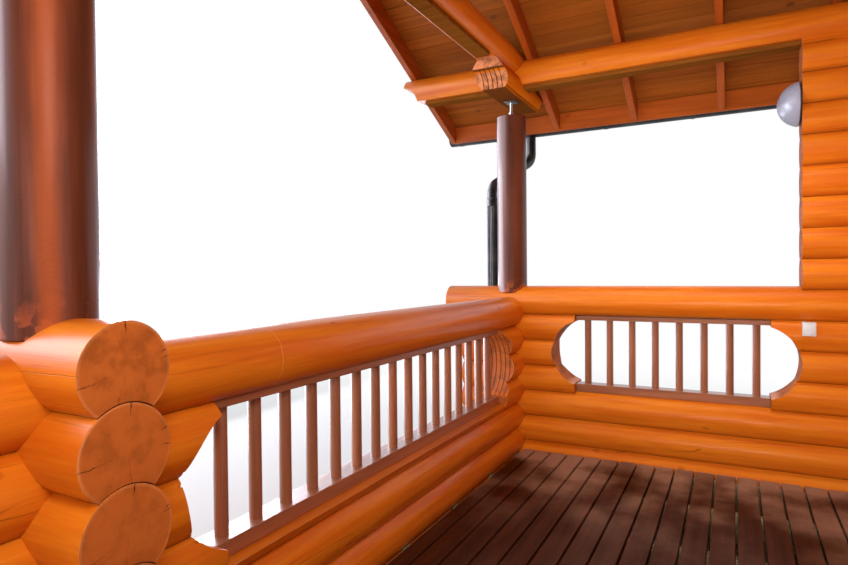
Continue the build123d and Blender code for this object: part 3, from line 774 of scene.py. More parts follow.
def felt_material(name, colour):
    """Mineral granules, with each shingle a little lighter or darker."""
    material, tree, inputs = new_material(name)
    stored = node(tree, "Attribute", attribute_name="grain_place")["Vector"]
    tone = noise(stored * (0.37, 0.0, 0.0), 1.0, 0.0)
    grit = node(tree, "TexVoronoi", {"Vector": object_place(tree), "Scale": 420.0})
    speck = first_channel(grit["Color"])
    base = blend(speck, shaded(colour, 0.55), shaded(colour, 1.7))
    base = blend(remap(tone, 0.3, 0.7, 0.0, 0.5), base, shaded(colour, 0.5))
    plug(base, inputs["Base Color"])
    plug(remap(speck, 0.0, 1.0, 0.8, 0.95), inputs["Roughness"])
    plug(bump(grit["Distance"], 0.7, 0.001), inputs["Normal"])
    return material


def opal_material(name):
    """Opal plastic of the lamp, slightly grey with age."""
    material, tree, inputs = new_material(name)
    film = group(tree, "dust", Scale=18.0, Amount=0.25)["Dust"]
    plug(blend(film, display(166, 172, 192), display(150, 153, 168)), inputs["Base Color"])
    plug(film + 0.22, inputs["Roughness"])
    return material


def material_of(kind):
    """A material by its name, built once."""
    scene = bpy.context.scene
    logs, boards, roof = scene.veranda_logs, scene.veranda_boards, scene.veranda_roof

    def glazed(paint, end=logs.end_grain, coat=0.36, specular=0.2):
        return wood_material(
            kind, logs.glaze, logs.deep_glaze, end, knot=display(120, 46, 12), wander=0.05, ring=0.0045,
            ring_depth=0.12, check=0.006, knots=0.5, tone=0.12, roughness=0.36, coat=coat,
            coat_roughness=0.24, specular=specular, paint=paint)

    def sawn(colour, dark, end, **looks):
        return wood_material(kind, colour, shaded(colour, dark), shaded(colour, end), **looks)

    makers = {
        "wall_log": lambda: glazed(wall_paint),
        "beam_log": lambda: glazed(rim_highlight_paint),
        "bolster_log": lambda: glazed(bolster_paint, display(222, 142, 96), coat=0.0, specular=0.0),
        "varnished_post": lambda: sawn(
            logs.post, 0.5, 0.8, knot=(0.01, 0.004, 0.002), ring_depth=0.2, check=0.005,
            roughness=0.42, coat=0.36, coat_roughness=0.18, knots=0.6, tone=0.1, paint=post_paint),
        "stained_plank": lambda: sawn(
            boards.plank, 0.6, 0.7, pith=(0.0, 0.03, 0.07), roughness=0.38, coat=0.9,
            coat_roughness=0.3),
        "glazed_rafter": lambda: sawn(
            boards.rafter, 0.65, 0.7, pith=(0.0, 0.02, 0.09), roughness=0.45, specular=0.12),
        "beam_board": lambda: sawn(
            boards.beam, 0.65, 0.7, pith=(0.0, 0.02, 0.09), roughness=0.5, specular=0.0),
        "roof_board": lambda: sawn(
            boards.roof, 0.68, 0.6, pith=(0.0, 0.02, 0.05), roughness=0.55, specular=0.06,
            knots=0.8, tone=0.5),
        "deck_board": lambda: sawn(
            boards.deck, 0.5, 0.5, pith=(0.0, 0.01, 0.06), roughness=0.5, specular=0.12,
            paint=deck_paint),
        "joist_wood": lambda: wood_material(
            kind, display(206, 188, 146), display(166, 142, 102), display(170, 146, 100),
            pith=(0.0, 0.02, 0.05), roughness=0.6),
        "mineral_felt": lambda: felt_material(kind, roof.felt),
        "black_coating": lambda: coated_material(kind, roof.metal, 0.3, metallic=0.3),
        "zinc_plate": lambda: zinc_material(kind),
        "dull_steel": lambda: coated_material(kind, (0.09, 0.08, 0.075), 0.5, metallic=0.6),
        "opal_cover": lambda: opal_material(kind),
        "dark_plastic": lambda: coated_material(kind, (0.02, 0.02, 0.024), 0.35, amount=0.15),
        "pale_plastic": lambda: coated_material(
            kind, display(222, 222, 220), 0.32, amount=0.12, film_colour=(0.35, 0.33, 0.3)),
    }
    if kind not in MATERIALS:
        MATERIALS[kind] = makers[kind]()
    return MATERIALS[kind]


# Operators

class VERANDA_OT_logs(bpy.types.Operator):
    """Chamfer the log ends and lay the grain along each log"""
    bl_idname = "veranda.logs"
    bl_label = "Logs"

    def execute(self, context):
        settings = context.scene.veranda_logs
        double = 2 * COURSE
        walls = []
        for number, name in enumerate(("even", "odd")):
            level = number * COURSE
            for wall in ("left_wall", "right_wall", "middle_pillar"):
                walls.append((f"{wall}_{name}_logs", "X", level, double))
            for wall in ("front_wall", "cabin_wall", "cabin_gable"):
                walls.append((f"{wall}_{name}_logs", "Y", level + COURSE / 2, double))
        for node_name, axis in (("left_purlin", "X"), ("right_purlin", "X"), ("ridge_log", "X"),
                                ("tie_beam", "Y"), ("bolsters", "Y")):
            walls.append((node_name, axis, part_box(node_name)[1].z - LOG_RADIUS, 0))
        for number, (node_name, axis, level, pitch) in enumerate(walls):
            piece = cad_copy(node_name, node_name + "_glazed")
            chamfer_ends(piece, axis, settings.chamfer)
            smooth(piece)
            centre = middle(node_name)
            if axis == "X":
                centre.x = 0
            else:
                centre.y = 0
            centre.z = level
            mark_grain(piece, axis, centre, (0, 0, pitch), seed=number * 3.1)
            kind = "wall_log" if pitch else "bolster_log" if node_name == "bolsters" else "beam_log"
            finish(piece, kind, "log_wood", node_name)
        return {"FINISHED"}


class VERANDA_OT_posts(bpy.types.Operator):
    """Varnish the round posts and the king post"""
    bl_idname = "veranda.posts"
    bl_label = "Posts"

    turn: degrees("Turn", "Turn of the left post about its axis", 26)

    def execute(self, context):
        for number, name in enumerate(("left_post", "middle_post", "right_post", "king_post")):
            piece = cad_copy(name, name + "_varnished")
            chamfer_ends(piece, "Z", context.scene.veranda_logs.chamfer)
            smooth(piece)
            centre = middle(name)
            mark_grain(piece, "Z", (centre.x, centre.y, 0), seed=50 + number * 4.3)
            if centre.y > 1:
                turn_grain(piece, self.turn)
            finish(piece, "varnished_post", "post_wood", name)
        return {"FINISHED"}


class VERANDA_OT_balustrades(bpy.types.Operator):
    """Planks and round balusters under the rails"""
    bl_idname = "veranda.balustrades"
    bl_label = "Balustrades"

    radius: metres("Baluster radius", "Radius of a baluster", 0.0215)
    spacing: metres("Spacing", "Distance between balusters", 0.142)
    top: metres("Top plank", "Thickness of the plank under the rail", 0.029)
    sill: metres("Sill plank", "Thickness of the plank on the low wall", 0.051)
    facets: bpy.props.IntProperty(
        name="Facets", description="Faces round a baluster", default=24, min=8, max=48)

    def execute(self, context):
        edge = context.scene.veranda_boards.edge
        for number, name in enumerate(("left_balustrade", "right_balustrade", "front_left_balustrade",
                                       "front_right_balustrade")):
            low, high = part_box(name)
            run = 1 if name.startswith("front") else 0
            planks = []
            for bottom, top in ((low.z, low.z + self.sill), (high.z - self.top, high.z)):
                planks.append(plank("plank", (low.x, low.y, bottom), (high.x, high.y, top), edge))
            boards = joined(planks, name + "_planks")
            centre = (low + high) / 2
            mark_grain(boards, "XY"[run], centre, seed=80 + number * 2.9)
            length = high[run] - low[run]
            count = round(length / self.spacing)
            step = length / count
            first = centre.copy()
            first[run] = low[run] + step / 2
            bottom, top = low.z + self.sill, high.z - self.top
            bpy.ops.object.select_all(action="DESELECT")
            bpy.ops.mesh.primitive_cylinder_add(
                vertices=self.facets, radius=self.radius, depth=top - bottom + edge,
                location=(first.x, first.y, (bottom + top) / 2), end_fill_type="NGON")
            stick = settle(added(name + "_sticks"))
            offset = [0.0, 0.0, 0.0]
            offset[run] = step
            modify(stick, "ARRAY", count=count, use_relative_offset=False, use_constant_offset=True,
                   constant_offset_displace=offset)
            smooth(stick)
            mark_grain(stick, "Z", (first.x, first.y, 0), offset, seed=90 + number * 1.7)
            piece = joined([boards, stick], name + "_stained")
            finish(piece, "stained_plank", "plank_wood", name)
        return {"FINISHED"}


class VERANDA_OT_beam_planks(bpy.types.Operator):
    """Planks under the purlins and the tie beam"""
    bl_idname = "veranda.beam_planks"
    bl_label = "Beam planks"

    def execute(self, context):
        dressed_copy("beam_planks", "beam_board", "plank_wood", "X", (0, 0, middle("beam_planks").z),
                     edge=context.scene.veranda_boards.edge, seed=130)
        return {"FINISHED"}


class VERANDA_OT_jacks(bpy.types.Operator):
    """Threaded screw jacks over the posts"""
    bl_idname = "veranda.jacks"
    bl_label = "Screw jacks"

    rod: metres("Rod", "Radius of the threaded rod", 0.009)
    thread: metres("Thread", "Distance between two threads", 0.004)
    plate: metres("Plate", "Width of a square plate", 0.08)
    sheet: metres("Plate thickness", "Thickness of a plate", 0.006)

    def execute(self, context):
        low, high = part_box("screw_jacks")
        height = high.z - low.z
        depth = self.thread * 0.3
        points = [(self.rod - depth, 0.0)]
        turns = int(height / self.thread)
        for number in range(turns):
            base = number * self.thread
            points.append((self.rod, base + self.thread * 0.25))
            points.append((self.rod, base + self.thread * 0.4))
            points.append((self.rod - depth, base + self.thread * 0.75))
        points.append((self.rod - depth, height))
        rod = lathe("rod", points, 16)
        bpy.ops.mesh.primitive_cylinder_add(vertices=6, radius=0.017, depth=0.013,
                                            location=(0, 0, self.sheet + 0.022))
        nut = eased(settle(added("nut")), 0.0015)
        jack = joined([rod, nut], "jack")
        half = self.plate / 2
        sheets = []
        for base in (0.0, height - self.sheet):
            sheets.append(plank("sheet", (-half, -half, base), (half, half, base + self.sheet), 0.0015))
        sheet = joined(sheets, "sheets")
        reach = (high.y - low.y) / 2 - (high.x - low.x) / 2
        places = [moved(0, y, low.z) for y in (-reach, 0.0, reach)]
        jacks, plates = spread(jack, places), spread(sheet, places)
        piece = smooth(joined(plates, "jack_plates"), CREASE)
        finish(piece, "dull_steel", "zinc_steel")
        piece = smooth(joined(jacks, "threaded_jacks"), CREASE)
        finish(piece, "zinc_plate", "zinc_steel", "screw_jacks")
        return {"FINISHED"}


class VERANDA_OT_rafters(bpy.types.Operator):
    """Rafters, barge rafters and fascias with broken edges"""
    bl_idname = "veranda.rafters"
    bl_label = "Rafters"

    spacing: metres("Spacing", "Distance between rafters", 0.571)
    first: metres("First rafter", "Place of the first rafter behind the front wall", 0.1425)

    def execute(self, context):
        edge = context.scene.veranda_boards.edge
        for sign, side in ((1, "left"), (-1, "right")):
            centre = middle(f"{side}_rafters")
            dressed_copy(f"{side}_rafters", "glazed_rafter", "rafter_wood", "Y",
                         (self.first, centre.y, centre.z), (self.spacing, 0, 0), edge,
                         seed=140 + sign, turn=-sign * ROOF_TURN)
        for number, name in enumerate(("barge_rafters", "fascias")):
            centre = middle(name)
            axis = "Y" if name == "barge_rafters" else "X"
            dressed_copy(name, "glazed_rafter", "rafter_wood", axis, centre, edge=edge,
                         seed=150 + 3.3 * number)
        return {"FINISHED"}


def slope_of(node, sign):
    """The corners of a slope's node and the slope's length."""
    low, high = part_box(node)
    return low, high, (high.y if sign > 0 else -low.y) / math.cos(ROOF_TURN)


def lay_on_slope(piece, sign, low, high, thickness):
    """Lay a flat piece on the left or, turned round, on the right slope."""
    peak = high.z - thickness / math.cos(ROOF_TURN)
    piece.data.transform(moved(0, 0, peak) @ Matrix.Rotation(-ROOF_TURN, 4, "X"))
    if sign < 0:
        piece.data.transform(moved(low.x + high.x, 0, 0) @ Matrix.Rotation(math.pi, 4, "Z"))


class VERANDA_OT_roof_boards(bpy.types.Operator):
    """Grooved boards on the rafters, in random lengths"""
    bl_idname = "veranda.roof_boards"
    bl_label = "Roof boards"

    groove: metres("Groove", "Chamfer on each board's lower edges", 0.0012)
    slit: metres("Slit", "Gap between two boards", 0.0034)
    thickness: metres("Thickness", "Thickness of a board", 0.02)

    def execute(self, context):
        pitch = context.scene.veranda_boards.roof_pitch
        draw = random.Random(7)
        joints, gap = (0.1425, 0.7135, 1.2845, 1.8555), 0.0016
        corner = Vector((1, pitch - self.slit, self.thickness)) / 2
        for sign, side in ((1, "left"), (-1, "right")):
            name = f"{side}_roof_boards"
            low, high, length = slope_of(name, sign)
            board = plank("board", -corner, corner, 0)

            def lower_edge(edge, normals, board=board):
                ends = [board.data.vertices[i].co for i in edge.vertices]
                return all(end.z < 0 for end in ends) and abs(ends[0].x - ends[1].x) > 0.5

            bevel_edges(board, self.groove, lower_edge)
            rows = []
            count = math.ceil(length / pitch)
            for number in range(count):
                near, far = number * pitch, min((number + 1) * pitch, length)
                cut = draw.choice(joints)
                for start, end in ((low.x, cut - gap / 2), (cut + gap / 2, high.x)):
                    size = Matrix.Diagonal((end - start, (far - near) / pitch, 1, 1))
                    place = moved((start + end) / 2, (near + far) / 2, self.thickness / 2)
                    rows.append(copy_of(board, place @ size))
            bpy.data.objects.remove(board)
            piece = joined(rows, f"{name}_grooved")
            mark_grain(piece, "X", (0, pitch / 2, self.thickness / 2), (0, pitch, 0), seed=160 + sign)
            lay_on_slope(piece, sign, low, high, self.thickness)
            smooth(piece)
            finish(piece, "roof_board", "roof_wood", name)
        return {"FINISHED"}


class VERANDA_OT_roofing(bpy.types.Operator):
    """Felt shingles in overlapping rows, with folded ridge pieces"""
    bl_idname = "veranda.roofing"
    bl_label = "Roofing"

    gap: metres("Gap", "Slit between two tabs", 0.006)
    sheet: metres("Sheet", "Thickness of a shingle", 0.004)

    def shingle(self, tab, exposure):
        """A tab with its lower corners cut, thicker at its lower edge."""
        half = (tab - self.gap) / 2
        corner = tab * 0.22
        points = [(-half, -0.04, 0), (half, -0.04, 0), (half, exposure - corner, 0),
                  (half - corner, exposure, 0), (-half + corner, exposure, 0),
                  (-half, exposure - corner, 0)]
        piece = outline(points)
        with edit_mode():
            bpy.ops.mesh.edge_face_add()
            extrude(0, 0, self.sheet)
            mend()
        tilt = math.atan(self.sheet / exposure)
        piece.data.transform(Matrix.Rotation(tilt, 4, "X"))
        return piece

    def execute(self, context):
        settings = context.scene.veranda_roof
        tab, exposure = settings.tab, settings.exposure
        for sign, side in ((1, "left"), (-1, "right")):
            name = f"{side}_roofing"
            low, high, length = slope_of(name, sign)
            rows = math.floor(length / exposure)
            sheet = plank("sheet", (low.x, 0.002, 0), (high.x, length, 0.005), 0)
            single = self.shingle(tab, exposure)
            parts = [sheet]
            for row in range(rows):
                reach = length - row * exposure
                shift = (row % 2) * tab / 2
                columns = math.floor((high.x - low.x - shift) / tab)
                for column in range(columns):
                    x = low.x + shift + (column + 0.5) * tab
                    place = moved(x, reach - exposure, 0.0045)
                    parts.append(copy_of(single, place))
            bpy.data.objects.remove(single)
            piece = joined(parts, f"{name}_shingles")
            mark_grain(piece, "X", (low.x + tab / 4, length - exposure / 2, 0), (tab / 2, exposure, 0),
                       seed=170 + sign)
            lay_on_slope(piece, sign, low, high, 0.010)
            finish(piece, "mineral_felt", "roofing_felt", name)
        self.ridge()
        return {"FINISHED"}

    def ridge(self):
        low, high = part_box("ridge_cap")
        length, lap = 0.25, 0.2
        half = high.y
        thickness = 0.004
        drop = half * math.tan(ROOF_TURN)
        top = high.z - thickness
        fold = 0.02
        shoulder = top - fold * math.tan(ROOF_TURN) - 0.002
        profile = [(0, -half, top - drop), (0, -fold, shoulder), (0, 0, top - thickness),
                   (0, fold, shoulder), (0, half, top - drop)]
        single = outline(profile)
        with edit_mode():
            extrude(length, 0, thickness)
        modify(single, "SOLIDIFY", thickness=thickness, offset=-1)
        count = math.floor((high.x - low.x - length) / lap) + 1
        places = [moved(low.x + number * lap, 0, 0) for number in range(count)]
        piece = joined(spread(single, places), "ridge_shingles")
        with edit_mode():
            mend()
        mark_grain(piece, "X", (low.x + lap / 2, 0, 0), (lap, 0, 0), seed=177)
        finish(piece, "mineral_felt", "roofing_felt", "ridge_cap")


class VERANDA_OT_rainwater(bpy.types.Operator):
    """Gutters with beads and brackets, and fluted downpipes"""
    bl_idname = "veranda.rainwater"
    bl_label = "Rainwater"

    bead: metres("Bead", "Radius of the rolled edge of a gutter", 0.008)
    bracket: metres("Bracket spacing", "Distance between gutter brackets", 0.6)
    radius: metres("Pipe radius", "Outer radius of a downpipe", 0.04)
    flute: metres("Flute depth", "Depth of the pipe's flutes", 0.0035)
    elbow: metres("Elbow", "Height of the bend under the outlet", 2.457)
    turn: metres("Turn", "Height of the bend at the corner", 2.210)

    def tube(self, name, points, radius, bend=0.0, flutes=0):
        """A pipe along straight runs joined by round bends, with or without flutes."""
        path = bpy.data.curves.new(name, "CURVE")
        path.dimensions = "3D"
        places = rounded(points, bend) if bend else [Vector(point) for point in points]
        spline = path.splines.new("POLY")
        spline.points.add(len(places) - 1)
        for point, place in zip(spline.points, places):
            point.co = (*place, 1)
        section = bpy.data.curves.new(name + "_section", "CURVE")
        ring = section.splines.new("POLY")
        steps = flutes * 4 if flutes else 32
        ring.points.add(steps - 1)
        for number, point in enumerate(ring.points):
            angle = 2 * math.pi * number / steps
            hollow = self.flute * (0.5 - 0.5 * math.cos(angle * flutes)) if flutes else 0.0
            point.co = ((radius - hollow) * math.cos(angle), (radius - hollow) * math.sin(angle), 0, 1)
        ring.use_cyclic_u = True
        shape = bpy.data.objects.new(name + "_section", section)
        path.bevel_mode = "OBJECT"
        path.bevel_object = shape
        piece = bpy.data.objects.new(name, path)
        linked(shape)
        only(linked(piece))
        bpy.ops.object.convert(target="MESH")
        bpy.data.objects.remove(shape)
        with edit_mode():
            mend(merge=True)
        return modify(piece, "SOLIDIFY", thickness=0.0015, offset=-1)

    def execute(self, context):
        flutes = context.scene.veranda_roof.flutes
        low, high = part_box("gutters")
        bowl = high.z - low.z
        pipe_low, pipe_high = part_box("downpipes")
        outlet_x = pipe_high.x - self.radius
        drop_x = pipe_low.x + self.radius
        wall_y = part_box("pipe_clips")[1].y - self.radius - 0.0043
        parts, brackets, pipes = [], [], []
        for sign in (1, -1):
            gutter_y = sign * (high.y - bowl)
            lip = sign * (high.y - self.bead * 0.6)
            edge = [(low.x, lip, high.z - self.bead), (high.x, lip, high.z - self.bead)]
            parts.append(self.tube("bead", edge, self.bead))
            places = math.floor((high.x - low.x) / self.bracket)
            for number in range(places + 1):
                x = low.x + 0.08 + number * (high.x - low.x - 0.16) / places
                brackets.append(self.hook(x, gutter_y, high.z, bowl, sign))
            top = Vector((outlet_x, gutter_y, low.z + 0.004))
            elbow = Vector((outlet_x, gutter_y, self.elbow))
            wall = Vector((drop_x, sign * wall_y, self.turn))
            foot = Vector((drop_x, sign * wall_y, pipe_low.z))
            straight = wall + Vector((0, 0, -0.12))
            pipes.append(self.tube("offset", [top, elbow, wall, straight], self.radius - 0.002, 0.095))
            pipes.append(self.tube("drop", [straight + Vector((0, 0, 0.03)), foot], self.radius,
                                   flutes=flutes))
            for base in (straight.z - 0.03, pipe_low.z + 0.9):
                ring = [(drop_x, sign * wall_y, base), (drop_x, sign * wall_y, base + 0.05)]
                pipes.append(self.tube("collar", ring, self.radius + 0.0015))
        gutter = cad_copy("gutters", "gutter_bowls")
        smooth(gutter)
        piece = smooth(joined([gutter] + parts, "beaded_gutters"))
        finish(piece, "black_coating", "black_metal", "gutters")
        piece = smooth(joined(brackets, "gutter_brackets"), math.radians(40))
        finish(piece, "black_coating", "black_metal")
        piece = smooth(joined(pipes, "fluted_downpipes"), math.radians(50))
        finish(piece, "black_coating", "black_metal", "downpipes")
        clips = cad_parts["pipe_clips"]
        clips.data.materials.clear()
        clips.data.materials.append(material_of("black_coating"))
        return {"FINISHED"}

    def hook(self, x, y, top, radius, sign):
        """A strap under the gutter, from the fascia to the bead."""
        points = []
        steps, rim, reach = 12, 0.012, radius + 0.001
        for number in range(steps + 1):
            angle = math.pi * number / steps
            points.append((x, y - sign * math.cos(angle) * reach,
                           top - rim - math.sin(angle) * (reach - rim)))
        strap = outline(points)
        with edit_mode():
            extrude(0.025, 0, 0)
            mend()
        return modify(strap, "SOLIDIFY", thickness=0.003, offset=0)


def rounded(points, radius, steps=10):
    """The points of a path with each corner turned into an arc."""
    points = [Vector(point) for point in points]
    result = [points[0]]
    for before, corner, after in zip(points, points[1:], points[2:]):
        back = (before - corner).normalized()
        ahead = (after - corner).normalized()
        half = back.angle(ahead) / 2
        if math.pi / 2 - half < 0.01:
            continue
        reach = radius / math.tan(half)
        centre = corner + (back + ahead).normalized() * (radius / math.sin(half))
        first = (corner + back * reach - centre).normalized()
        last = (corner + ahead * reach - centre).normalized()
        angle = first.angle(last)
        for number in range(steps + 1):
            share = number / steps
            turned = first * math.sin((1 - share) * angle) + last * math.sin(share * angle)
            result.append(centre + turned / math.sin(angle) * radius)
    result.append(points[-1])
    return result


class VERANDA_OT_deck(bpy.types.Operator):
    """Separate deck boards, their screws and the joists"""
    bl_idname = "veranda.deck"
    bl_label = "Deck"

    screw: metres("Screw", "Radius of a screw head", 0.003)
    last_gap: metres("Last gap", "Place of the gap next to the cabin wall", 1.690)

    def execute(self, context):
        settings = context.scene.veranda_boards
        pitch, width = settings.deck_pitch, settings.deck_width
        low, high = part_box("deck")
        joists = self.joist_lines()
        draw = random.Random(3)
        boards, screws = [], []
        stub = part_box("middle_pillar_even_logs")[1]
        margin, gap = 0.02, 0.003
        number = -2
        while True:
            number += 1
            centre = self.last_gap + pitch * (0.5 - number)
            near = max(centre - width / 2, low.x)
            far = min(centre + width / 2, high.x)
            if far <= low.x:
                break
            if far - near < margin:
                continue
            cut = draw.choice([y for y in joists if 0.4 < abs(y) < 1.7])
            for start, end in ((low.y, cut - gap / 2), (cut + gap / 2, high.y)):
                boards.append(plank("board", (near, start, low.z), (far, end, high.z), 0.004))
            for y in joists:
                for x in (near + margin, far - margin):
                    if x >= stub.x + margin or abs(y) >= stub.y + margin:
                        screws.append((x, y))
        piece = joined(boards, "deck_boards")
        play, above = 0.008, 0.05
        notch = plank("notch", (0, -stub.y - play, low.z - above),
                      (stub.x + play, stub.y + play, high.z + above), 0)
        modify(piece, "BOOLEAN", operation="DIFFERENCE", object=notch, solver="EXACT")
        bpy.data.objects.remove(notch)
        smooth(piece)
        mark_grain(piece, "Y", (self.last_gap + pitch / 2, 0, (low.z + high.z) / 2), (pitch, 0, 0),
                   seed=200)
        finish(piece, "deck_board", "deck_wood", "deck")
        head = lathe("head", [(0, 0.0006), (self.screw * 0.75, 0.0006), (self.screw, 0.0),
                              (self.screw, -0.002)], 8)
        piece = joined(spread(head, [moved(x, y, high.z) for x, y in screws]), "deck_screws")
        finish(piece, "dull_steel", "zinc_steel")
        centre = middle("deck_joists")
        dressed_copy("deck_joists", "joist_wood", "deck_wood", "X", (0, 0, centre.z), (0, 0.3, 0),
                     seed=210)
        return {"FINISHED"}

    def joist_lines(self):
        """Middle lines of the joists, read from their meshes."""
        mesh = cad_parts["deck_joists"].data
        sides = sorted({round(vertex.co.y, 4) for vertex in mesh.vertices})
        return [(first + second) / 2 for first, second in zip(sides[::2], sides[1::2])]


class VERANDA_OT_doorway(bpy.types.Operator):
    """Frame of the doorway in the cabin wall"""
    bl_idname = "veranda.doorway"
    bl_label = "Doorway"

    def execute(self, context):
        centre = middle("door_frame")
        dressed_copy("door_frame", "stained_plank", "plank_wood", "Z", (centre.x, centre.y, 0),
                     seed=220, edge=context.scene.veranda_boards.edge)
        return {"FINISHED"}


class VERANDA_OT_fittings(bpy.types.Operator):
    """Round wall lamp and socket on the cabin corner"""
    bl_idname = "veranda.fittings"
    bl_label = "Fittings"

    def execute(self, context):
        low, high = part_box("lamp_glass")
        depth, radius = high.x - low.x, (high.z - low.z) / 2
        band, steps = 0.008, 14
        dome = depth - band
        sphere = (radius ** 2 + dome ** 2) / (2 * dome)
        points = [(0.0, depth)]
        reach = math.asin(radius / sphere)
        for number in range(1, steps + 1):
            angle = reach * number / steps
            points.append((sphere * math.sin(angle), depth - sphere + sphere * math.cos(angle)))
        points += [(radius, band * 0.4), (radius - 0.002, 0.0), (radius - 0.01, 0.0)]
        self.turned("lamp_cover", points, high.x, "opal_cover", "lamp_cover", "lamp_glass")
        low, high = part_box("lamp_base")
        radius, thick = (high.z - low.z) / 2, high.x - low.x
        points = [(0.0, thick), (radius - 0.002, thick), (radius, thick - 0.002), (radius, 0.001),
                  (radius - 0.001, 0.0), (0.0, 0.0)]
        self.turned("lamp_plate", points, high.x, "dark_plastic", "lamp_body", "lamp_base")
        self.socket()
        return {"FINISHED"}

    def turned(self, name, points, back, kind, slot, node):
        """A turned piece of the lamp, with its back to the wall."""
        piece = lathe(name, points, 64)
        centre = middle("lamp_glass")
        aim = Matrix.Rotation(-math.pi / 2, 4, "Y")
        piece.data.transform(moved(back, centre.y, centre.z) @ aim)
        finish(smooth(piece, math.radians(30)), kind, slot, node)

    def socket(self):
        piece = cad_copy("socket_box", "socket_body")
        eased(piece, 0.003, angle_limit=SHARP)
        low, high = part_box("socket_box")
        face = low.y
        lid = plank("lid", (low.x + 0.004, face - 0.006, low.z + 0.012),
                    (high.x - 0.004, face + 0.002, high.z - 0.006), 0.002)
        hinge = plank("hinge", (low.x + 0.015, face - 0.008, high.z - 0.008),
                      (high.x - 0.015, face + 0.001, high.z - 0.001), 0.002)
        tab = plank("tab", (low.x + 0.022, face - 0.009, low.z + 0.007),
                    (high.x - 0.022, face - 0.001, low.z + 0.015), 0.0015)
        piece = smooth(joined([piece, lid, hinge, tab], "socket_case"), CREASE)
        finish(piece, "pale_plastic", "socket_plastic", "socket_box")


SKY_TINT, CARD_TINT, WHITE = (0.94, 0.96, 1.0), (0.88, 0.87, 1.0), (1.0, 1.0, 1.0)

# Name, place, aim, size, power, spread in degrees and colour of each lamp
LAMPS = (
    ("sky_left", (-4.5, 2.0, 5.0), (0.8, 1.0, 1.2), (6, 6), 30, 180, SKY_TINT),
    ("sky_right", (-3.5, -3.5, 2.5), (0.0, 0.5, 1.2), (3, 3), 125, 180, SKY_TINT),
    ("room", (1.05, -2.85, 1.6), (0.9, 3.0, 1.6), (1.5, 1.9), 16, 180, WHITE),
    ("room_far", (1.35, -2.8, 1.7), (1.25, 3.1, 1.6), (0.9, 1.5), 12, 50, WHITE),
    ("purlin", (0.5, 1.4, 2.0), (0.4, 3.0, 2.75), (1.4, 0.3), 2.5, 80, WHITE),
    ("bay", (0.95, 2.5, 2.55), (0.95, 3.1, 1.3), (1.8, 0.3), 3.5, 80, WHITE),
    ("near", (1.3, -0.6, 2.25), (0.2, 0.6, 1.25), (0.5, 0.5), 18, 180, WHITE),
    ("from_roof", (1.0, 0.4, 2.72), (1.0, 0.4, 0.0), (1.5, 5.2), 5, 180, WHITE),
    ("to_roof", (1.25, 0.4, 1.75), (1.25, 0.4, 3.0), (1.0, 5.2), 5, 180, WHITE),
)

# Name, place, size and power of each bright card, which shows in the varnish alone
CARDS = (
    ("low_card", (-3.5, 4.2, 0.8), (9, 1.4), 340),
    ("post_card", (-3.5, 2.5, 2.1), (3.2, 1.6), 260),
    ("high_card", (-6.0, 0.0, 5.6), (16, 5), 1700),
)


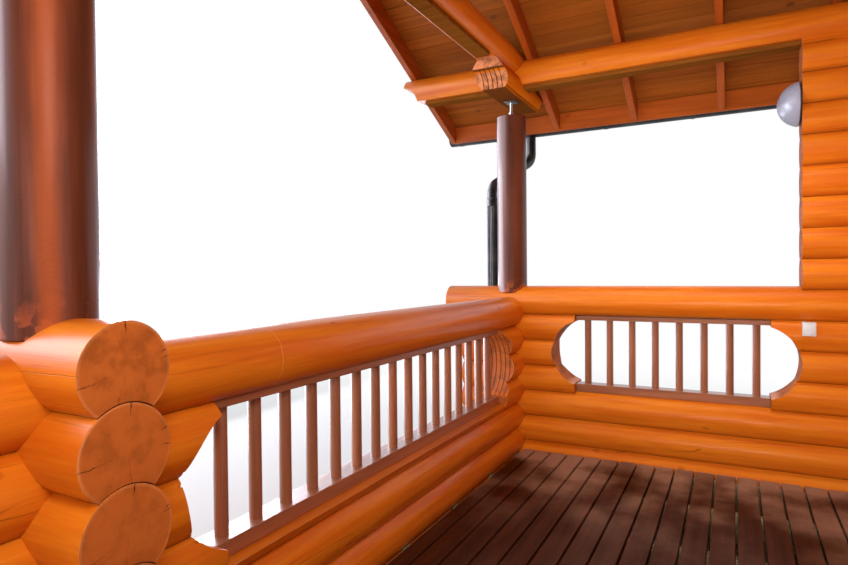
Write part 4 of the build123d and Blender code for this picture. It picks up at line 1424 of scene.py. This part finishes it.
class VERANDA_OT_stage(bpy.types.Operator):
    """Floor, light and camera"""
    bl_idname = "veranda.stage"
    bl_label = "Stage"

    reach: metres("Floor", "Half the width of the floor", 60.0)

    def execute(self, context):
        settings = context.scene.veranda_stage
        self.floor(settings)
        self.world(context, settings)
        for values in LAMPS:
            self.lamp(*values)
        for name, place, size, power in CARDS:
            card = self.lamp(name, place, Vector(place) + Vector((1, 0, 0)), size, power, 180, CARD_TINT)
            card.visible_diffuse = False
            card.visible_glossy = True
        self.camera(context, settings)
        context.scene.view_settings.view_transform = "Standard"
        return {"FINISHED"}

    def lamp(self, name, place, aim, size, power, spread, colour):
        light = bpy.data.lights.new(name, "AREA")
        light.shape = "RECTANGLE"
        light.size, light.size_y = size
        light.energy = power
        light.spread = math.radians(spread)
        light.color = colour
        lamp = linked(bpy.data.objects.new(name, light))
        lamp.location = place
        lamp.rotation_euler = (Vector(aim) - Vector(place)).to_track_quat("-Z", "Y").to_euler()
        lamp.visible_camera = False
        lamp.visible_glossy = False
        return lamp

    def floor(self, settings):
        """A pale floor that fades into the background where the camera sees it."""
        bpy.ops.object.select_all(action="DESELECT")
        bpy.ops.mesh.primitive_plane_add(size=2 * self.reach)
        floor = added("floor")
        material, tree, inputs = new_material("pale_floor")
        plug(settings.floor, inputs["Base Color"])
        plug(0.9, inputs["Roughness"])
        seen = node(tree, "LightPath")["Is Camera Ray"]
        fade = remap(maths("LENGTH", object_place(tree)), 3.9, 9.5) * seen
        glow = node(tree, "Emission", {"Strength": 1.0})[0]
        lit = Wire(tree.nodes["Principled BSDF"].outputs[0])
        mixed = node(tree, "MixShader", {0: fade, 1: lit, 2: glow})[0]
        plug(mixed, tree.nodes["Material Output"].inputs["Surface"])
        floor.data.materials.append(material)

    def world(self, context, settings):
        """Light from all round, and a white background for the camera."""
        world = bpy.data.worlds.new("studio")
        context.scene.world = world
        world.use_nodes = True
        tree = world.node_tree
        inputs = tree.nodes["Background"].inputs
        path = node(tree, "LightPath")
        seen = maths("MAXIMUM", path["Is Camera Ray"], path["Is Glossy Ray"])
        seen = maths("MAXIMUM", seen, path["Is Transmission Ray"])
        plug(remap(seen, 0.0, 1.0, settings.sky, 1.0), inputs["Strength"])
        plug(blend(path["Is Camera Ray"], (0.93, 0.96, 1.0), WHITE), inputs["Color"])

    def camera(self, context, settings):
        data = bpy.data.cameras.new("camera")
        data.lens = settings.lens
        data.clip_start = 0.02
        camera = linked(bpy.data.objects.new("camera", data))
        yaw, pitch, roll = settings.yaw, settings.pitch, settings.roll
        ahead = Vector((-math.sin(yaw) * math.cos(pitch), math.cos(yaw) * math.cos(pitch),
                        -math.sin(pitch)))
        level = Vector((math.cos(yaw), math.sin(yaw), 0))
        upright = level.cross(ahead)
        right = level * math.cos(roll) + upright * math.sin(roll)
        up = right.cross(ahead)
        turned = Matrix((right, up, -ahead)).transposed().to_4x4()
        camera.matrix_world = moved(*settings.place) @ turned
        context.scene.camera = camera


class VERANDA_PT_panel(bpy.types.Panel):
    """Buttons for each group of pieces"""
    bl_label = "Veranda"
    bl_space_type = "VIEW_3D"
    bl_region_type = "UI"
    bl_category = "Veranda"

    def draw(self, context):
        for settings in (context.scene.veranda_logs, context.scene.veranda_boards,
                         context.scene.veranda_roof, context.scene.veranda_stage):
            box = self.layout.box()
            for name in settings.bl_rna.properties.keys():
                if name not in ("rna_type", "name"):
                    box.prop(settings, name)
        for operator in OPERATORS:
            self.layout.operator(operator.bl_idname)


SETTINGS = {"veranda_logs": LogSettings, "veranda_boards": BoardSettings,
            "veranda_roof": RoofSettings, "veranda_stage": StageSettings}
OPERATORS = (VERANDA_OT_logs, VERANDA_OT_posts, VERANDA_OT_balustrades, VERANDA_OT_beam_planks,
             VERANDA_OT_jacks, VERANDA_OT_rafters, VERANDA_OT_roof_boards, VERANDA_OT_roofing,
             VERANDA_OT_rainwater, VERANDA_OT_deck, VERANDA_OT_doorway, VERANDA_OT_fittings,
             VERANDA_OT_stage)


def register():
    for group_class in SETTINGS.values():
        bpy.utils.register_class(group_class)
    for name, group_class in SETTINGS.items():
        setattr(bpy.types.Scene, name, bpy.props.PointerProperty(type=group_class))
    for operator in OPERATORS:
        bpy.utils.register_class(operator)
    bpy.utils.register_class(VERANDA_PT_panel)


def unregister():
    bpy.utils.unregister_class(VERANDA_PT_panel)
    for operator in reversed(OPERATORS):
        bpy.utils.unregister_class(operator)
    for name, group_class in SETTINGS.items():
        delattr(bpy.types.Scene, name)
        bpy.utils.unregister_class(group_class)


def main():
    register()
    bpy.ops.veranda.logs()
    bpy.ops.veranda.posts()
    bpy.ops.veranda.balustrades()
    bpy.ops.veranda.beam_planks()
    bpy.ops.veranda.jacks()
    bpy.ops.veranda.rafters()
    bpy.ops.veranda.roof_boards()
    bpy.ops.veranda.roofing()
    bpy.ops.veranda.rainwater()
    bpy.ops.veranda.deck()
    bpy.ops.veranda.doorway()
    bpy.ops.veranda.fittings()
    bpy.ops.veranda.stage()


if __name__ == "__main__":
    main()
